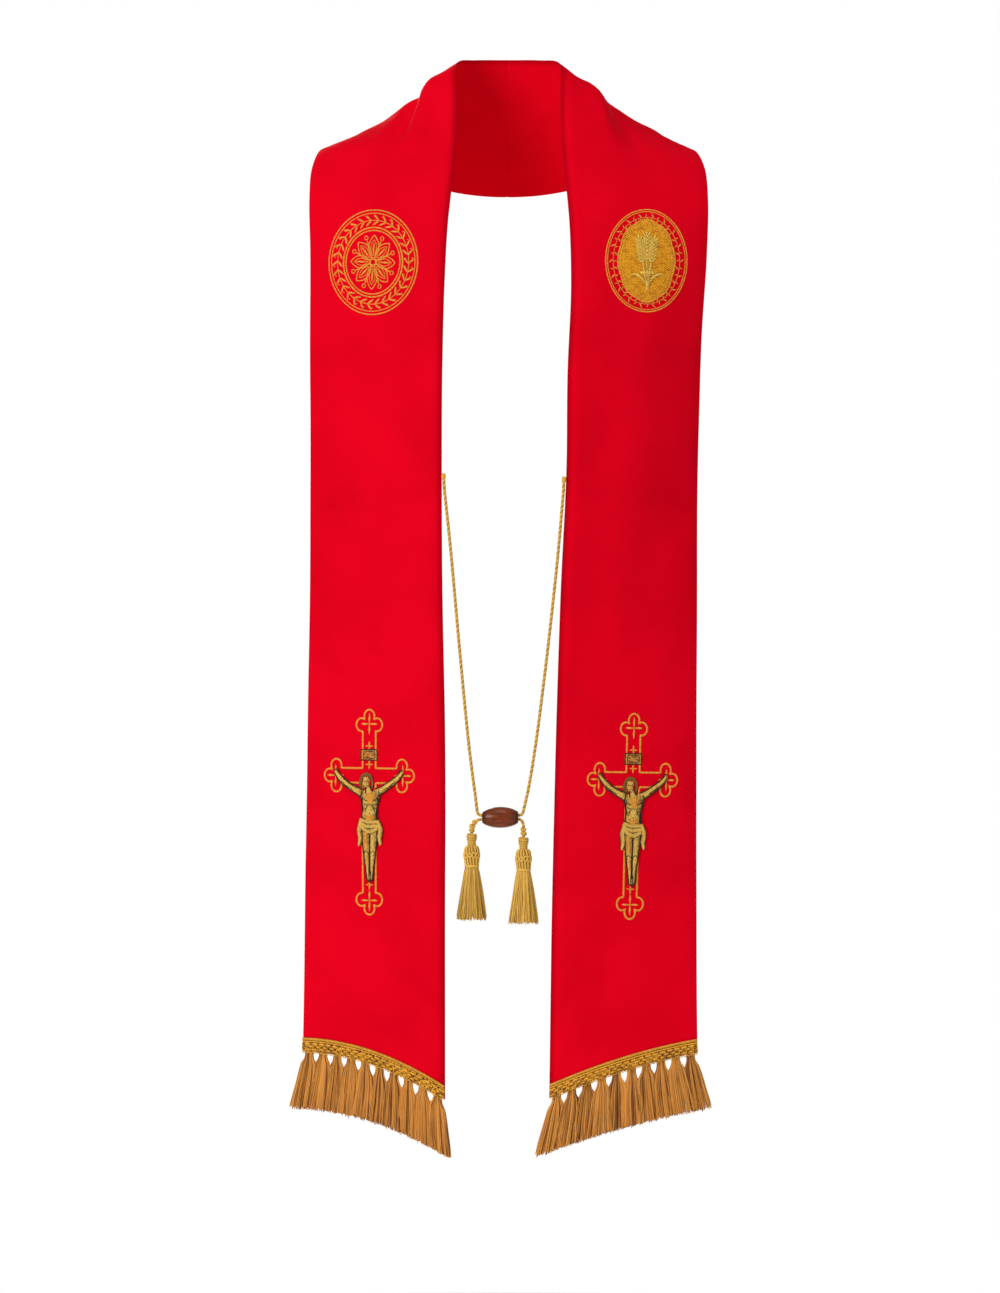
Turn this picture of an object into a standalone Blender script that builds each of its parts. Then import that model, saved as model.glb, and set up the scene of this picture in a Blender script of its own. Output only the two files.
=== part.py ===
"""Clerical stole as worn: two band halves joined at the centre back, hem braids, tassel fringes, and a pair
of cords that run through one bead and end in tassels. Built in metres, +Z up, the front faces -Y, and the
origin is the middle of the neck opening at shoulder height. Lengths below are in millimetres."""

import math
from collections import namedtuple

import bmesh
import bpy
import numpy as np

MM = 0.001
GAP = 0.3

# Band: one width from centre back to hem, pressed flat, with a wall of a few layers of cloth.
BAND_WIDTH = 183.0
BAND_WALL = 2.6
BAND_LENGTH = 1427.0
HEM_BLEND = 160.0

# Hem trim.
BRAID_HEIGHT = 17.0
BRAID_THICK = 1.8
BRAID_CLEAR = 0.45
STRIP_HEIGHT = 4.0
STRIP_THICK = 2.8
LOCKS = 10
STRANDS_IN_LOCK = 8
LOCK_TOP_SHARE = 0.50
FRINGE_LENGTH = 71.0

# Cords, bead and tassels.
CORD_DIAMETER = 4.0
CORD_SIDES = 8
BEAD_CENTRE = (-8.5, -129.0, -880.5)
BEAD_LENGTH = 45.0
BEAD_RADIUS = 13.1
BEAD_END_SHARE = 0.857
BORE_RADIUS = 4.75
PAIR_OFFSET = 2.25
TASSEL_STRANDS = 20

# A row for each section across the band, from the centre back down to the end of the fringe. Each gives the
# distance along the band and the inner edge, the middle and the outer edge, with x measured outwards.
Section = namedtuple(
    "Section",
    "along inner_x inner_y inner_z mid_x mid_y mid_z outer_x outer_y outer_z",
)
LEFT_SECTIONS = [
    Section(0, 0, 66, 70, 0, 84, -16, 0, 116, -102),
    Section(45, 41, 52, 70, 55, 79, -13, 61, 112, -97),
    Section(88, 62, 18, 67, 101, 60, -4, 118, 98, -82),
    Section(118, 65, -6, 54, 131, 33, 4, 162, 85, -65),
    Section(155, 64, -28, 22, 140, 12, -4, 192, 66, -54),
    Section(195, 64, -48, -14, 147, -12, -20, 216, 40, -45),
    Section(235, 65, -68, -48, 152, -38, -41, 234, 10, -44),
    Section(280, 69, -90, -90, 157, -64, -76, 245, -28, -68),
    Section(330, 74, -107, -138, 162, -86, -120, 248, -56, -106),
    Section(405, 78, -120, -212, 166, -99, -190, 247.5, -62, -172),
    Section(520, 81, -126, -327, 168, -100, -303, 247.5, -54, -281),
    Section(640, 82, -128, -447, 168, -100, -421, 247, -51, -397),
    Section(790, 81, -127, -597, 168, -99, -569, 247.5, -52, -544),
    Section(975, 77.5, -124, -782, 166, -101, -752, 249.5, -62, -726),
    Section(1190, 77.5, -122, -997, 167, -103, -966, 253, -72, -938),
    Section(1400, 77.5, -121, -1207, 168, -105, -1175, 255.5, -79, -1149),
    Section(1427, 77.5, -121, -1234, 168, -105, -1202, 256, -80, -1176),
    Section(1500, 75, -123, -1306, 172, -107, -1274, 267, -80, -1248),
]
RIGHT_SECTIONS = [
    Section(0, 0, 66, 70, 0, 84, -16, 0, 116, -102),
    Section(45, 42, 52, 70, 56, 79, -13, 62, 112, -97),
    Section(88, 66, 18, 67, 105, 60, -4, 120, 98, -82),
    Section(118, 69, -6, 54, 138, 33, 3, 166, 85, -65),
    Section(155, 68, -28, 22, 149, 12, -5, 196, 66, -54),
    Section(195, 68, -48, -14, 152, -12, -19, 220, 40, -46),
    Section(235, 70, -68, -48, 157, -38, -41, 237, 10, -45),
    Section(280, 74, -90, -90, 163, -65, -76, 249, -28, -68),
    Section(330, 78, -108, -138, 167, -87, -120, 252.5, -56, -108),
    Section(405, 80, -121, -212, 169, -98, -191, 251, -58, -174),
    Section(520, 76, -126, -327, 165, -99, -302, 244.5, -54, -281),
    Section(640, 74.5, -128, -447, 162, -100, -420, 241, -54, -396),
    Section(790, 67.5, -127, -597, 157, -100, -567, 239, -62, -540),
    Section(975, 61.5, -124, -782, 152, -104, -752, 238, -76, -724),
    Section(1190, 56, -122, -997, 148, -111, -968, 237.5, -88, -941),
    Section(1400, 53, -121, -1205, 146, -116, -1178, 238, -106, -1149),
    Section(1427, 52.5, -121, -1232, 146, -117, -1205, 238.5, -108, -1176),
    Section(1500, 40, -123, -1304, 147, -120, -1277, 252, -112, -1246),
]

# A row for each soft fold: a line from one point on the band to another, as distances along and across it.
Fold = namedtuple("Fold", "along_a across_a along_b across_b width height")
LEFT_FOLDS = [
    Fold(62, 22, 250, 58, 14, 5.0),
    Fold(92, 49, 262, 94, 12, -5.5),
    Fold(110, 104, 232, 160, 22, 5.0),
    Fold(40, 120, 190, 150, 22, 3.0),
    Fold(300, 60, 760, 96, 34, 2.2),
    Fold(420, 140, 1000, 120, 30, -2.0),
    Fold(800, 60, 1440, 74, 36, 2.4),
    Fold(980, 132, 1440, 128, 28, 2.0),
]
RIGHT_FOLDS = [
    Fold(66, 32, 240, 66, 15, 4.5),
    Fold(98, 62, 262, 100, 13, -3.6),
    Fold(110, 108, 234, 160, 22, 4.8),
    Fold(50, 118, 190, 146, 22, 3.0),
    Fold(310, 110, 820, 84, 34, 2.2),
    Fold(500, 40, 1010, 46, 26, -1.8),
    Fold(840, 118, 1440, 96, 34, 2.6),
]

# A row for each half: which way x runs, its sections and folds, and how far the hem's middle is cut up.
Half = namedtuple("Half", "name sign sections folds hem_rise")
HALVES = [
    Half("left", -1, LEFT_SECTIONS, LEFT_FOLDS, 12.0),
    Half("right", 1, RIGHT_SECTIONS, RIGHT_FOLDS, 7.5),
]

# A row for each cord: its panel edge, the points it hangs through, and the tassel that it ends in.
CORD_POINTS = {
    "left": [(-79.2, -128, -452), (-78.2, -128.5, -470), (-70, -129, -550), (-60, -129, -662),
             (-49.8, -129, -770), (-43.4, -129, -825), (-40, -129, -850)],
    "right": [(71.0, -128, -456), (70.2, -128.5, -474), (62.5, -129, -562), (51, -129, -668),
              (38.7, -129, -768), (30.2, -129, -825), (25.6, -129, -850)],
}
TASSEL_TOP = {"left": (20.5, -129.0, -905.0), "right": (-44.0, -129.0, -900.5)}

# A row for each ring of a tassel's head, down from its top.
Ring = namedtuple("Ring", "down radius")
TASSEL_RINGS = [
    Ring(0.0, 5.4), Ring(0.9, 6.6), Ring(8.4, 6.6), Ring(9.4, 5.5), Ring(15.4, 5.5),
    Ring(17.0, 8.2), Ring(20.0, 9.0), Ring(37.5, 9.0), Ring(41.0, 8.2),
]
SKIRT_LENGTH = 65.5
SKIRT_END_RADIUS = 18.5


def through_rows(sections, along):
    """Values of the table rows at distances along the band, by a smooth curve through them."""
    table = np.array(sections, float)
    stations, values = table[:, 0], table[:, 1:]
    steps = np.diff(stations)
    rises = np.diff(values, axis=0) / steps[:, None]
    slopes = np.zeros_like(values)
    weights = steps[1:] / (steps[:-1] + steps[1:])
    slopes[1:-1] = rises[:-1] * weights[:, None] + rises[1:] * (1 - weights[:, None])
    slopes[-1] = rises[-1]
    # The other half mirrors this one at the centre back, so only x changes there.
    slopes[0, 0::3] = rises[0, 0::3]
    place = np.clip(np.searchsorted(stations, along, side="right") - 1, 0, len(steps) - 1)
    length = steps[place]
    share = np.clip((along - stations[place]) / length, 0, 1)[:, None]
    length = length[:, None]
    curve = (
        (2 * share**3 - 3 * share**2 + 1) * values[place]
        + (share**3 - 2 * share**2 + share) * length * slopes[place]
        + (3 * share**2 - 2 * share**3) * values[place + 1]
        + (share**3 - share**2) * length * slopes[place + 1]
    )
    beyond = np.maximum(along - stations[-1], 0)[:, None]
    return curve + beyond * slopes[-1]


def middle_surface(half, along, across):
    """Points in the middle of the cloth. Across runs from 0 at the inner edge to 1 at the outer edge."""
    row = through_rows(half.sections, np.abs(along))
    inner, middle, outer = row[:, 0:3], row[:, 3:6], row[:, 6:9]
    across = across[:, None]
    point = (
        (1 - 2 * across) * (1 - across) * inner
        + 4 * across * (1 - across) * middle
        + across * (2 * across - 1) * outer
    )
    point[:, 0] *= np.where(along < 0, -1, 1)
    return point


def outward(half, along, across):
    """Unit directions away from the wearer."""
    down = middle_surface(half, along + 1.0, across) - middle_surface(half, along - 1.0, across)
    over = middle_surface(half, along, across + 0.01) - middle_surface(half, along, across - 0.01)
    normal = np.cross(down, over)
    normal[along == 0, 0] = 0
    return normal / np.linalg.norm(normal, axis=1)[:, None]


def fold_height(half, along, across):
    """How far soft folds lift the cloth, fading to nothing at the centre back and at each fold's ends."""
    height = np.zeros_like(along)
    flat = np.stack([along, across * BAND_WIDTH], axis=1)
    for fold in half.folds:
        start = np.array([fold.along_a, fold.across_a], float)
        run = np.array([fold.along_b, fold.across_b], float) - start
        share = ((flat - start) @ run) / (run @ run)
        near = start + np.clip(share, 0, 1)[:, None] * run
        away = np.linalg.norm(flat - near, axis=1)
        ends = np.sin(math.pi * np.clip(share, 0, 1)) ** 0.7
        height += fold.height * np.exp(-((away / fold.width) ** 2)) * ends
    return height * np.clip(along / 60, 0, 1) ** 2


def on_cloth(half, along, across, lift):
    """Points at a height above the middle of the cloth, in metres and on the half's own side."""
    along, across = np.broadcast_arrays(np.asarray(along, float), np.asarray(across, float))
    shape = along.shape
    along, across = along.ravel(), across.ravel()
    raised = np.broadcast_to(np.asarray(lift, float), shape).ravel() + fold_height(half, along, across)
    point = middle_surface(half, along, across) + outward(half, along, across) * raised[:, None]
    point[:, 0] = half.sign * (point[:, 0] + GAP / 2)
    return (point * MM).reshape(*shape, 3)


def hem(half, across):
    """Distance along the band of the hem, cut up a little in its middle."""
    return BAND_LENGTH - half.hem_rise * 4 * across * (1 - across)


def as_object(name, points, faces, colour, roughness):
    """A closed mesh object with its own material."""
    mesh = bpy.data.meshes.new(name)
    mesh.from_pydata([tuple(point) for point in points], [], faces)
    shape = bmesh.new()
    shape.from_mesh(mesh)
    bmesh.ops.recalc_face_normals(shape, faces=shape.faces)
    bmesh.ops.triangulate(shape, faces=[face for face in shape.faces if len(face.verts) > 4])
    shape.to_mesh(mesh)
    shape.free()
    material = bpy.data.materials.new(name)
    material.use_nodes = True
    shader = material.node_tree.nodes["Principled BSDF"]
    shader.inputs["Base Color"].default_value = (*colour, 1.0)
    shader.inputs["Roughness"].default_value = roughness
    mesh.materials.append(material)
    made = bpy.data.objects.new(name, mesh)
    bpy.context.scene.collection.objects.link(made)
    return made


def slab(half, name, along, across, low, high, colour, roughness):
    """A wall between two heights over a grid of places on the cloth."""
    rows, columns = along.shape
    top = on_cloth(half, along, across, high).reshape(-1, 3)
    under = on_cloth(half, along, across, low).reshape(-1, 3)
    total = rows * columns
    faces = []
    for row in range(rows - 1):
        for column in range(columns - 1):
            a = row * columns + column
            corner = (a, a + 1, a + columns + 1, a + columns)
            faces.append(corner)
            faces.append(tuple(total + index for index in reversed(corner)))
    rim = list(range(columns))
    rim += [row * columns + columns - 1 for row in range(1, rows)]
    rim += [(rows - 1) * columns + column for column in range(columns - 2, -1, -1)]
    rim += [row * columns for row in range(rows - 2, 0, -1)]
    for index, a in enumerate(rim):
        b = rim[(index + 1) % len(rim)]
        faces.append((b, a, total + a, total + b))
    return as_object(name, np.concatenate([top, under]), faces, colour, roughness)


def band_half(half):
    """Half of the band, with closer rows round the neck and over the shoulder."""
    stations = np.concatenate([np.arange(0, 420, 15.0), np.linspace(420, BAND_LENGTH, 41)])
    columns = np.linspace(0, 1, 13)
    along, across = np.meshgrid(stations, columns, indexing="ij")
    blend = np.clip((along - (BAND_LENGTH - HEM_BLEND)) / HEM_BLEND, 0, 1)
    along = along + (hem(half, across) - BAND_LENGTH) * blend
    slab(half, half.name + "_half", along, across, -BAND_WALL / 2, BAND_WALL / 2, (0.72, 0.01, 0.03), 0.6)


def hem_braid(half):
    """Flat braid on the front of the hem."""
    columns = np.linspace(0.008, 0.992, 25)
    rises = np.array([BRAID_HEIGHT, BRAID_HEIGHT / 2, 0.6])
    along = hem(half, columns)[None, :] - rises[:, None]
    across = np.broadcast_to(columns[None, :], along.shape)
    low = BAND_WALL / 2 + BRAID_CLEAR
    slab(half, half.name + "_braid", along, across, low, low + BRAID_THICK, (0.72, 0.50, 0.10), 0.4)


def strand_places():
    """For each lock of a fringe, its two edges at the heading and its two edges at the tip."""
    places = []
    for lock in range(LOCKS):
        for strand in range(STRANDS_IN_LOCK):
            share = (strand + 0.5) / STRANDS_IN_LOCK - 0.5
            top = (lock + 0.5 + share * LOCK_TOP_SHARE) / LOCKS
            tip = (lock + 0.5 + share * 0.97) / LOCKS
            top_half = 0.36 * LOCK_TOP_SHARE / LOCKS / STRANDS_IN_LOCK
            tip_half = 0.36 / LOCKS / STRANDS_IN_LOCK
            places.append((top - top_half, top + top_half, tip - tip_half, tip + tip_half))
    return places


def fringe(half):
    """A narrow heading strip under the hem with strands fused into it, apart from each other below."""
    front, back = STRIP_THICK / 2, -STRIP_THICK / 2
    points, faces = [], []

    def add(down, across, lift):
        place = hem(half, np.array(min(max(across, 0), 1))) + down
        points.append(on_cloth(half, np.array([place]), np.array([across]), lift)[0])
        return len(points) - 1

    strands = strand_places()
    foot = GAP + 0.2 + STRIP_HEIGHT
    previous = None
    for lock in range(LOCKS + 1):
        edge = min(max(lock / LOCKS, 0.006), 0.994)
        corners = [add(GAP + 0.2, edge, front), add(GAP + 0.2, edge, back)]
        corners += [add(foot, edge, front), add(foot, edge, back)]
        if previous is None:
            faces.append((corners[0], corners[1], corners[3], corners[2]))
            previous = corners
            continue
        low_front, low_back = [previous[2]], [previous[3]]
        for number in range((lock - 1) * STRANDS_IN_LOCK, lock * STRANDS_IN_LOCK):
            top_a, top_b, tip_a, tip_b = strands[number]
            rings = []
            drop = FRINGE_LENGTH + 2.0 * math.sin(2.3 * number)
            levels = ((foot, 0.0, 1.0), (foot + 0.22 * drop, 0.8, 0.95), (foot + drop - 4, 1.0, 0.7))
            for down, mix, deep in levels:
                a = top_a + (tip_a - top_a) * mix
                b = top_b + (tip_b - top_b) * mix
                rings.append([add(down, a, front * deep), add(down, b, front * deep),
                              add(down, b, back * deep), add(down, a, back * deep)])
            for upper, lower in zip(rings, rings[1:]):
                for side in range(4):
                    after = (side + 1) % 4
                    faces.append((upper[side], upper[after], lower[after], lower[side]))
            faces.append(tuple(rings[-1]))
            faces.append((low_front[-1], low_back[-1], rings[0][3], rings[0][0]))
            low_front += rings[0][0:2]
            low_back += [rings[0][3], rings[0][2]]
        faces.append((low_front[-1], low_back[-1], corners[3], corners[2]))
        low_front.append(corners[2])
        low_back.append(corners[3])
        faces.append(tuple([previous[0], corners[0]] + low_front[::-1]))
        faces.append(tuple([previous[1], corners[1]] + low_back[::-1]))
        faces.append((previous[0], corners[0], corners[1], previous[1]))
        previous = corners
    faces.append((previous[0], previous[1], previous[3], previous[2]))
    as_object(half.name + "_fringe", points, faces, (0.56, 0.31, 0.08), 0.5)


def tube(name, line, radius, sides, colour, roughness):
    """A round cord along a line, with flat ends."""
    line = np.array(line, float)
    tangents = np.gradient(line, axis=0)
    tangents /= np.linalg.norm(tangents, axis=1)[:, None]
    lean = np.array([0.0, 1.0, 0.0])
    points, faces = [], []
    for place, tangent in zip(line, tangents):
        first = np.cross(tangent, lean)
        first /= np.linalg.norm(first)
        second = np.cross(tangent, first)
        for side in range(sides):
            turn = 2 * math.pi * side / sides
            points.append((place + radius * (math.cos(turn) * first + math.sin(turn) * second)) * MM)
    for row in range(len(line) - 1):
        for side in range(sides):
            after = (side + 1) % sides
            faces.append((row * sides + side, row * sides + after, (row + 1) * sides + after,
                          (row + 1) * sides + side))
    faces.append(tuple(range(sides)))
    faces.append(tuple((len(line) - 1) * sides + side for side in range(sides)))
    return as_object(name, points, faces, colour, roughness)


def rounded(points, step):
    """Points about one step apart along a smooth curve through a few."""
    points = np.array(points, float)
    ends = np.concatenate([[2 * points[0] - points[1]], points, [2 * points[-1] - points[-2]]])
    line = []
    for index in range(1, len(ends) - 2):
        a, b, c, d = ends[index - 1:index + 3]
        count = max(1, round(float(np.linalg.norm(c - b)) / step))
        for part in range(count):
            share = part / count
            line.append(0.5 * (2 * b + (c - a) * share + (2 * a - 5 * b + 4 * c - d) * share**2
                               + (3 * b - a - 3 * c + d) * share**3))
    line.append(points[-1])
    return line


def cord_line(side):
    """The middle line of a cord: from its panel, through the bead half a turn about the other, to its tassel."""
    way = 1 if side == "left" else -1
    centre = np.array(BEAD_CENTRE)
    half_length = BEAD_LENGTH / 2
    hang = [np.array(point, float) for point in CORD_POINTS[side]]
    bend = 1.6 * CORD_DIAMETER
    mouth = centre + [-way * half_length, 0, PAIR_OFFSET]
    turn_in = [mouth + [-way * bend * math.cos(angle), 0, bend * (1 - math.sin(angle))]
               for angle in (0.3, 0.7, 1.15)]
    inside = []
    for part in range(9):
        share = part / 8
        angle = math.pi * share
        inside.append(centre + [way * (share * 2 - 1) * half_length, -PAIR_OFFSET * math.sin(angle) * way,
                                PAIR_OFFSET * math.cos(angle)])
    foot = centre + [way * half_length, 0, -PAIR_OFFSET]
    end = np.array(TASSEL_TOP[side]) + [0, 0, GAP]
    reach = abs(end[0] - foot[0])
    drop = foot[2] - end[2]
    fall = min(drop * 0.72, reach * 1.3)
    turn_out = [foot + [way * reach * math.sin(angle), 0, -fall * (1 - math.cos(angle))]
                for angle in (0.5, 1.0, math.pi / 2)]
    return rounded(hang, 16.0) + rounded(turn_in, 4.0) + inside + turn_out + [end]


def cord(side):
    """One round cord, close to the bead's bore and to the other cord but touching neither."""
    tube(side + "_cord", cord_line(side), CORD_DIAMETER / 2, CORD_SIDES, (0.70, 0.46, 0.10), 0.45)


def bead():
    """A barrel bead on its side, bored through."""
    sides, rows = 28, 11
    half_length = BEAD_LENGTH / 2
    profile = [(-half_length, BORE_RADIUS)]
    for row in range(rows):
        share = row / (rows - 1) * 2 - 1
        radius = BEAD_RADIUS * math.sqrt(1 - (BEAD_END_SHARE * share) ** 2)
        profile.append((share * half_length, radius))
    profile.append((half_length, BORE_RADIUS))
    points, faces = [], []
    for place, radius in profile:
        for side in range(sides):
            turn = 2 * math.pi * side / sides
            offset = (place, radius * math.sin(turn), radius * math.cos(turn))
            points.append((np.array(BEAD_CENTRE) + offset) * MM)
    for row in range(len(profile)):
        below = (row + 1) % len(profile)
        for side in range(sides):
            after = (side + 1) % sides
            faces.append((row * sides + side, row * sides + after, below * sides + after,
                          below * sides + side))
    as_object("bead", points, faces, (0.13, 0.035, 0.012), 0.25)


def tassel(side):
    """A tassel: a wound head over a ring of strands fused into its foot."""
    top = np.array(TASSEL_TOP[side])
    sectors = 2 * TASSEL_STRANDS
    points, faces = [], []

    def ring(down, radius):
        start = len(points)
        for sector in range(sectors):
            turn = 2 * math.pi * sector / sectors
            points.append((top + [radius * math.cos(turn), radius * math.sin(turn), -down]) * MM)
        return list(range(start, start + sectors))

    outer = [ring(row.down, row.radius) for row in TASSEL_RINGS]
    for upper, lower in zip(outer, outer[1:]):
        for sector in range(sectors):
            after = (sector + 1) % sectors
            faces.append((upper[sector], upper[after], lower[after], lower[sector]))
    faces.append(tuple(outer[0]))
    foot = TASSEL_RINGS[-1]
    inner = ring(foot.down, foot.radius - 3.0)
    faces.append(tuple(inner))
    for sector in range(sectors):
        after = (sector + 1) % sectors
        if sector % 2:
            faces.append((outer[-1][sector], outer[-1][after], inner[after], inner[sector]))
            continue
        above = [outer[-1][sector], outer[-1][after], inner[after], inner[sector]]
        turn = 2 * math.pi * (sector + 0.5) / sectors
        out = np.array([math.cos(turn), math.sin(turn), 0.0])
        aside = np.array([-math.sin(turn), math.cos(turn), 0.0])
        for share in (0.45, 1.0):
            middle = foot.radius - 1.2 + (SKIRT_END_RADIUS - foot.radius) * share**0.8
            wide = 0.8 + 0.5 * share
            length = SKIRT_LENGTH + 1.5 * math.sin(3.1 * sector)
            centre = top + out * middle + [0, 0, -foot.down - length * share]
            start = len(points)
            for away, along in ((1.0, -wide), (1.0, wide), (-1.0, wide), (-1.0, -wide)):
                points.append((centre + out * away + aside * along) * MM)
            below = list(range(start, start + 4))
            for edge in range(4):
                after_edge = (edge + 1) % 4
                faces.append((above[edge], above[after_edge], below[after_edge], below[edge]))
            above = below
        faces.append(tuple(above))
    name = "right_tassel" if side == "left" else "left_tassel"
    as_object(name, points, faces, (0.74, 0.48, 0.11), 0.5)


def build():
    for old in list(bpy.data.objects):
        bpy.data.objects.remove(old)
    for half in HALVES:
        band_half(half)
        hem_braid(half)
        fringe(half)
        cord(half.name)
        tassel(half.name)
    bead()


build()
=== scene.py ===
# Clerical stole: the looks of the red band, its gold embroidery, hem braid, fringe, cords, bead and tassels.
import math

import bmesh
import bpy
import numpy as np
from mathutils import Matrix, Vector


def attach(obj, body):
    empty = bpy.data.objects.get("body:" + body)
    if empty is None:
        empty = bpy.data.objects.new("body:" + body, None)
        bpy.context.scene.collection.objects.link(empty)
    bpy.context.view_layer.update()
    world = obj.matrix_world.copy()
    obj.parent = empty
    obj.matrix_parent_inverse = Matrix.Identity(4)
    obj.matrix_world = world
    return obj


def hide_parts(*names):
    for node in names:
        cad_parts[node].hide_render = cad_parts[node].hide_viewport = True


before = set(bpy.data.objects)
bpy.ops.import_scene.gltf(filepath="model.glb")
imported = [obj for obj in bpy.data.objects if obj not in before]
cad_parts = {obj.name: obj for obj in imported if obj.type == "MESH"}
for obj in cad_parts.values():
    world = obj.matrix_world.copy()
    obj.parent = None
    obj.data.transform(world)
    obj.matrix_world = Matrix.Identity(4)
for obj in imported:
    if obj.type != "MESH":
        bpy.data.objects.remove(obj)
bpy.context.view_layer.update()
mm = 0.001
print("frame loaded")


# Small helpers

def hexColor(code):
    # sRGB hex to linear RGBA
    parts = [int(code[i:i + 2], 16) / 255 for i in (1, 3, 5)]
    return (*[c / 12.92 if c <= 0.04045 else ((c + 0.055) / 1.055) ** 2.4 for c in parts], 1.0)


def addNode(tree, kind, inputs=None, **settings):
    # one node with its settings, values and links; a node given as a value stands for its first output
    node = tree.nodes.new(kind)
    for name, value in settings.items():
        setattr(node, name, value)
    for name, value in (inputs or {}).items():
        if isinstance(value, bpy.types.Node):
            value = value.outputs[0]
        if isinstance(value, bpy.types.NodeSocket):
            tree.links.new(value, node.inputs[name])
        else:
            node.inputs[name].default_value = value
    return node


def mathNode(tree, operation, *values, clamp=False):
    return addNode(tree, "ShaderNodeMath", dict(enumerate(values)), operation=operation, use_clamp=clamp)


def newMaterial(name, **values):
    material = bpy.data.materials.new(name)
    material.use_nodes = True
    shader = material.node_tree.nodes["Principled BSDF"]
    for socket, value in values.items():
        shader.inputs[socket.replace("_", " ")].default_value = value
    return material, material.node_tree, shader


def colorRamp(tree, value, *stops):
    # stops: position and sRGB hex of the low end and of the high end
    ramp = addNode(tree, "ShaderNodeValToRGB", {0: value})
    for element, (position, code) in zip(ramp.color_ramp.elements, stops):
        element.position, element.color = position, hexColor(code)
    return ramp


def addBump(tree, shader, height, strength, distance):
    bump = addNode(tree, "ShaderNodeBump", {"Height": height, "Strength": strength, "Distance": distance})
    tree.links.new(bump.outputs[0], shader.inputs["Normal"])


def placeMesh(name, mesh):
    mesh.polygons.foreach_set("use_smooth", [True] * len(mesh.polygons))
    piece = bpy.data.objects.new(name, mesh)
    bpy.context.scene.collection.objects.link(piece)
    return piece


def makeMesh(name, points, faces=(), edges=()):
    mesh = bpy.data.meshes.new(name)
    mesh.from_pydata([tuple(p) for p in points], list(edges), list(faces))
    return placeMesh(name, mesh)


def fixNormals(piece):
    shape = bmesh.new()
    shape.from_mesh(piece.data)
    bmesh.ops.recalc_face_normals(shape, faces=shape.faces)
    shape.to_mesh(piece.data)
    shape.free()


def addPointValues(piece, **values):
    # one number or one vector for each point, under each name
    for name, numbers in values.items():
        numbers = np.asarray(numbers, float)
        kind, field = ("FLOAT_VECTOR", "vector") if numbers.ndim == 2 else ("FLOAT", "value")
        piece.data.attributes.new(name, kind, "POINT").data.foreach_set(field, numbers.ravel())


def addUv(piece, name, coords):
    # coords: one (u, v) in metres for each vertex
    layer = piece.data.uv_layers.new(name=name)
    index = np.empty(len(piece.data.loops), int)
    piece.data.loops.foreach_get("vertex_index", index)
    layer.data.foreach_set("uv", np.asarray(coords, float)[index].ravel())


def finishPiece(piece, slot, *nodes):
    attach(piece, "root")
    if nodes:
        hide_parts(*nodes)
    return piece


def gridFaces(rows, columns, closed=False):
    # quads of a tube of points, row by row; a closed one runs from its last row back to its first
    faces = []
    for row in range(rows if closed else rows - 1):
        here, below = row * columns, (row + 1) % rows * columns
        for column in range(columns):
            after = (column + 1) % columns
            faces.append((here + column, here + after, below + after, below + column))
    return faces


def unit(vectors):
    return vectors / np.linalg.norm(vectors, axis=1)[:, None]


def runAlong(line):
    # the distance from a line's start to each of its points
    return np.concatenate([[0], np.cumsum(np.linalg.norm(np.diff(line, axis=0), axis=1))])


def pointsAt(line, run, at):
    return np.stack([np.interp(at, run, values) for values in line.T], axis=1)


def denser(line, step):
    run = runAlong(line)
    return pointsAt(line, run, np.linspace(0, run[-1], int(run[-1] / step) + 2))


def throughPoints(points, span, t):
    # a smooth curve through all the points: the place t, from 0 to 1, in each span between two of them
    ends = np.concatenate([[2 * points[0] - points[1]], points, [2 * points[-1] - points[-2]]])
    a, b, c, d = (ends[span + k] for k in range(4))
    t = t[:, None]
    return 0.5 * (2 * b + (c - a) * t + (2 * a - 5 * b + 4 * c - d) * t**2 + (3 * b - a - 3 * c + d) * t**3)


def smoothLine(points, step, whole=round):
    # a finer line through the points, each span cut into a whole number of steps
    points = np.array(points, float)
    counts = [max(1, whole(float(np.linalg.norm(gap)) / step)) for gap in np.diff(points, axis=0)]
    t = np.concatenate([np.arange(count) / count for count in counts])
    return np.concatenate([throughPoints(points, np.repeat(np.arange(len(counts)), counts), t), points[-1:]])


# The cloth's shape, the same rows as the solids

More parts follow.
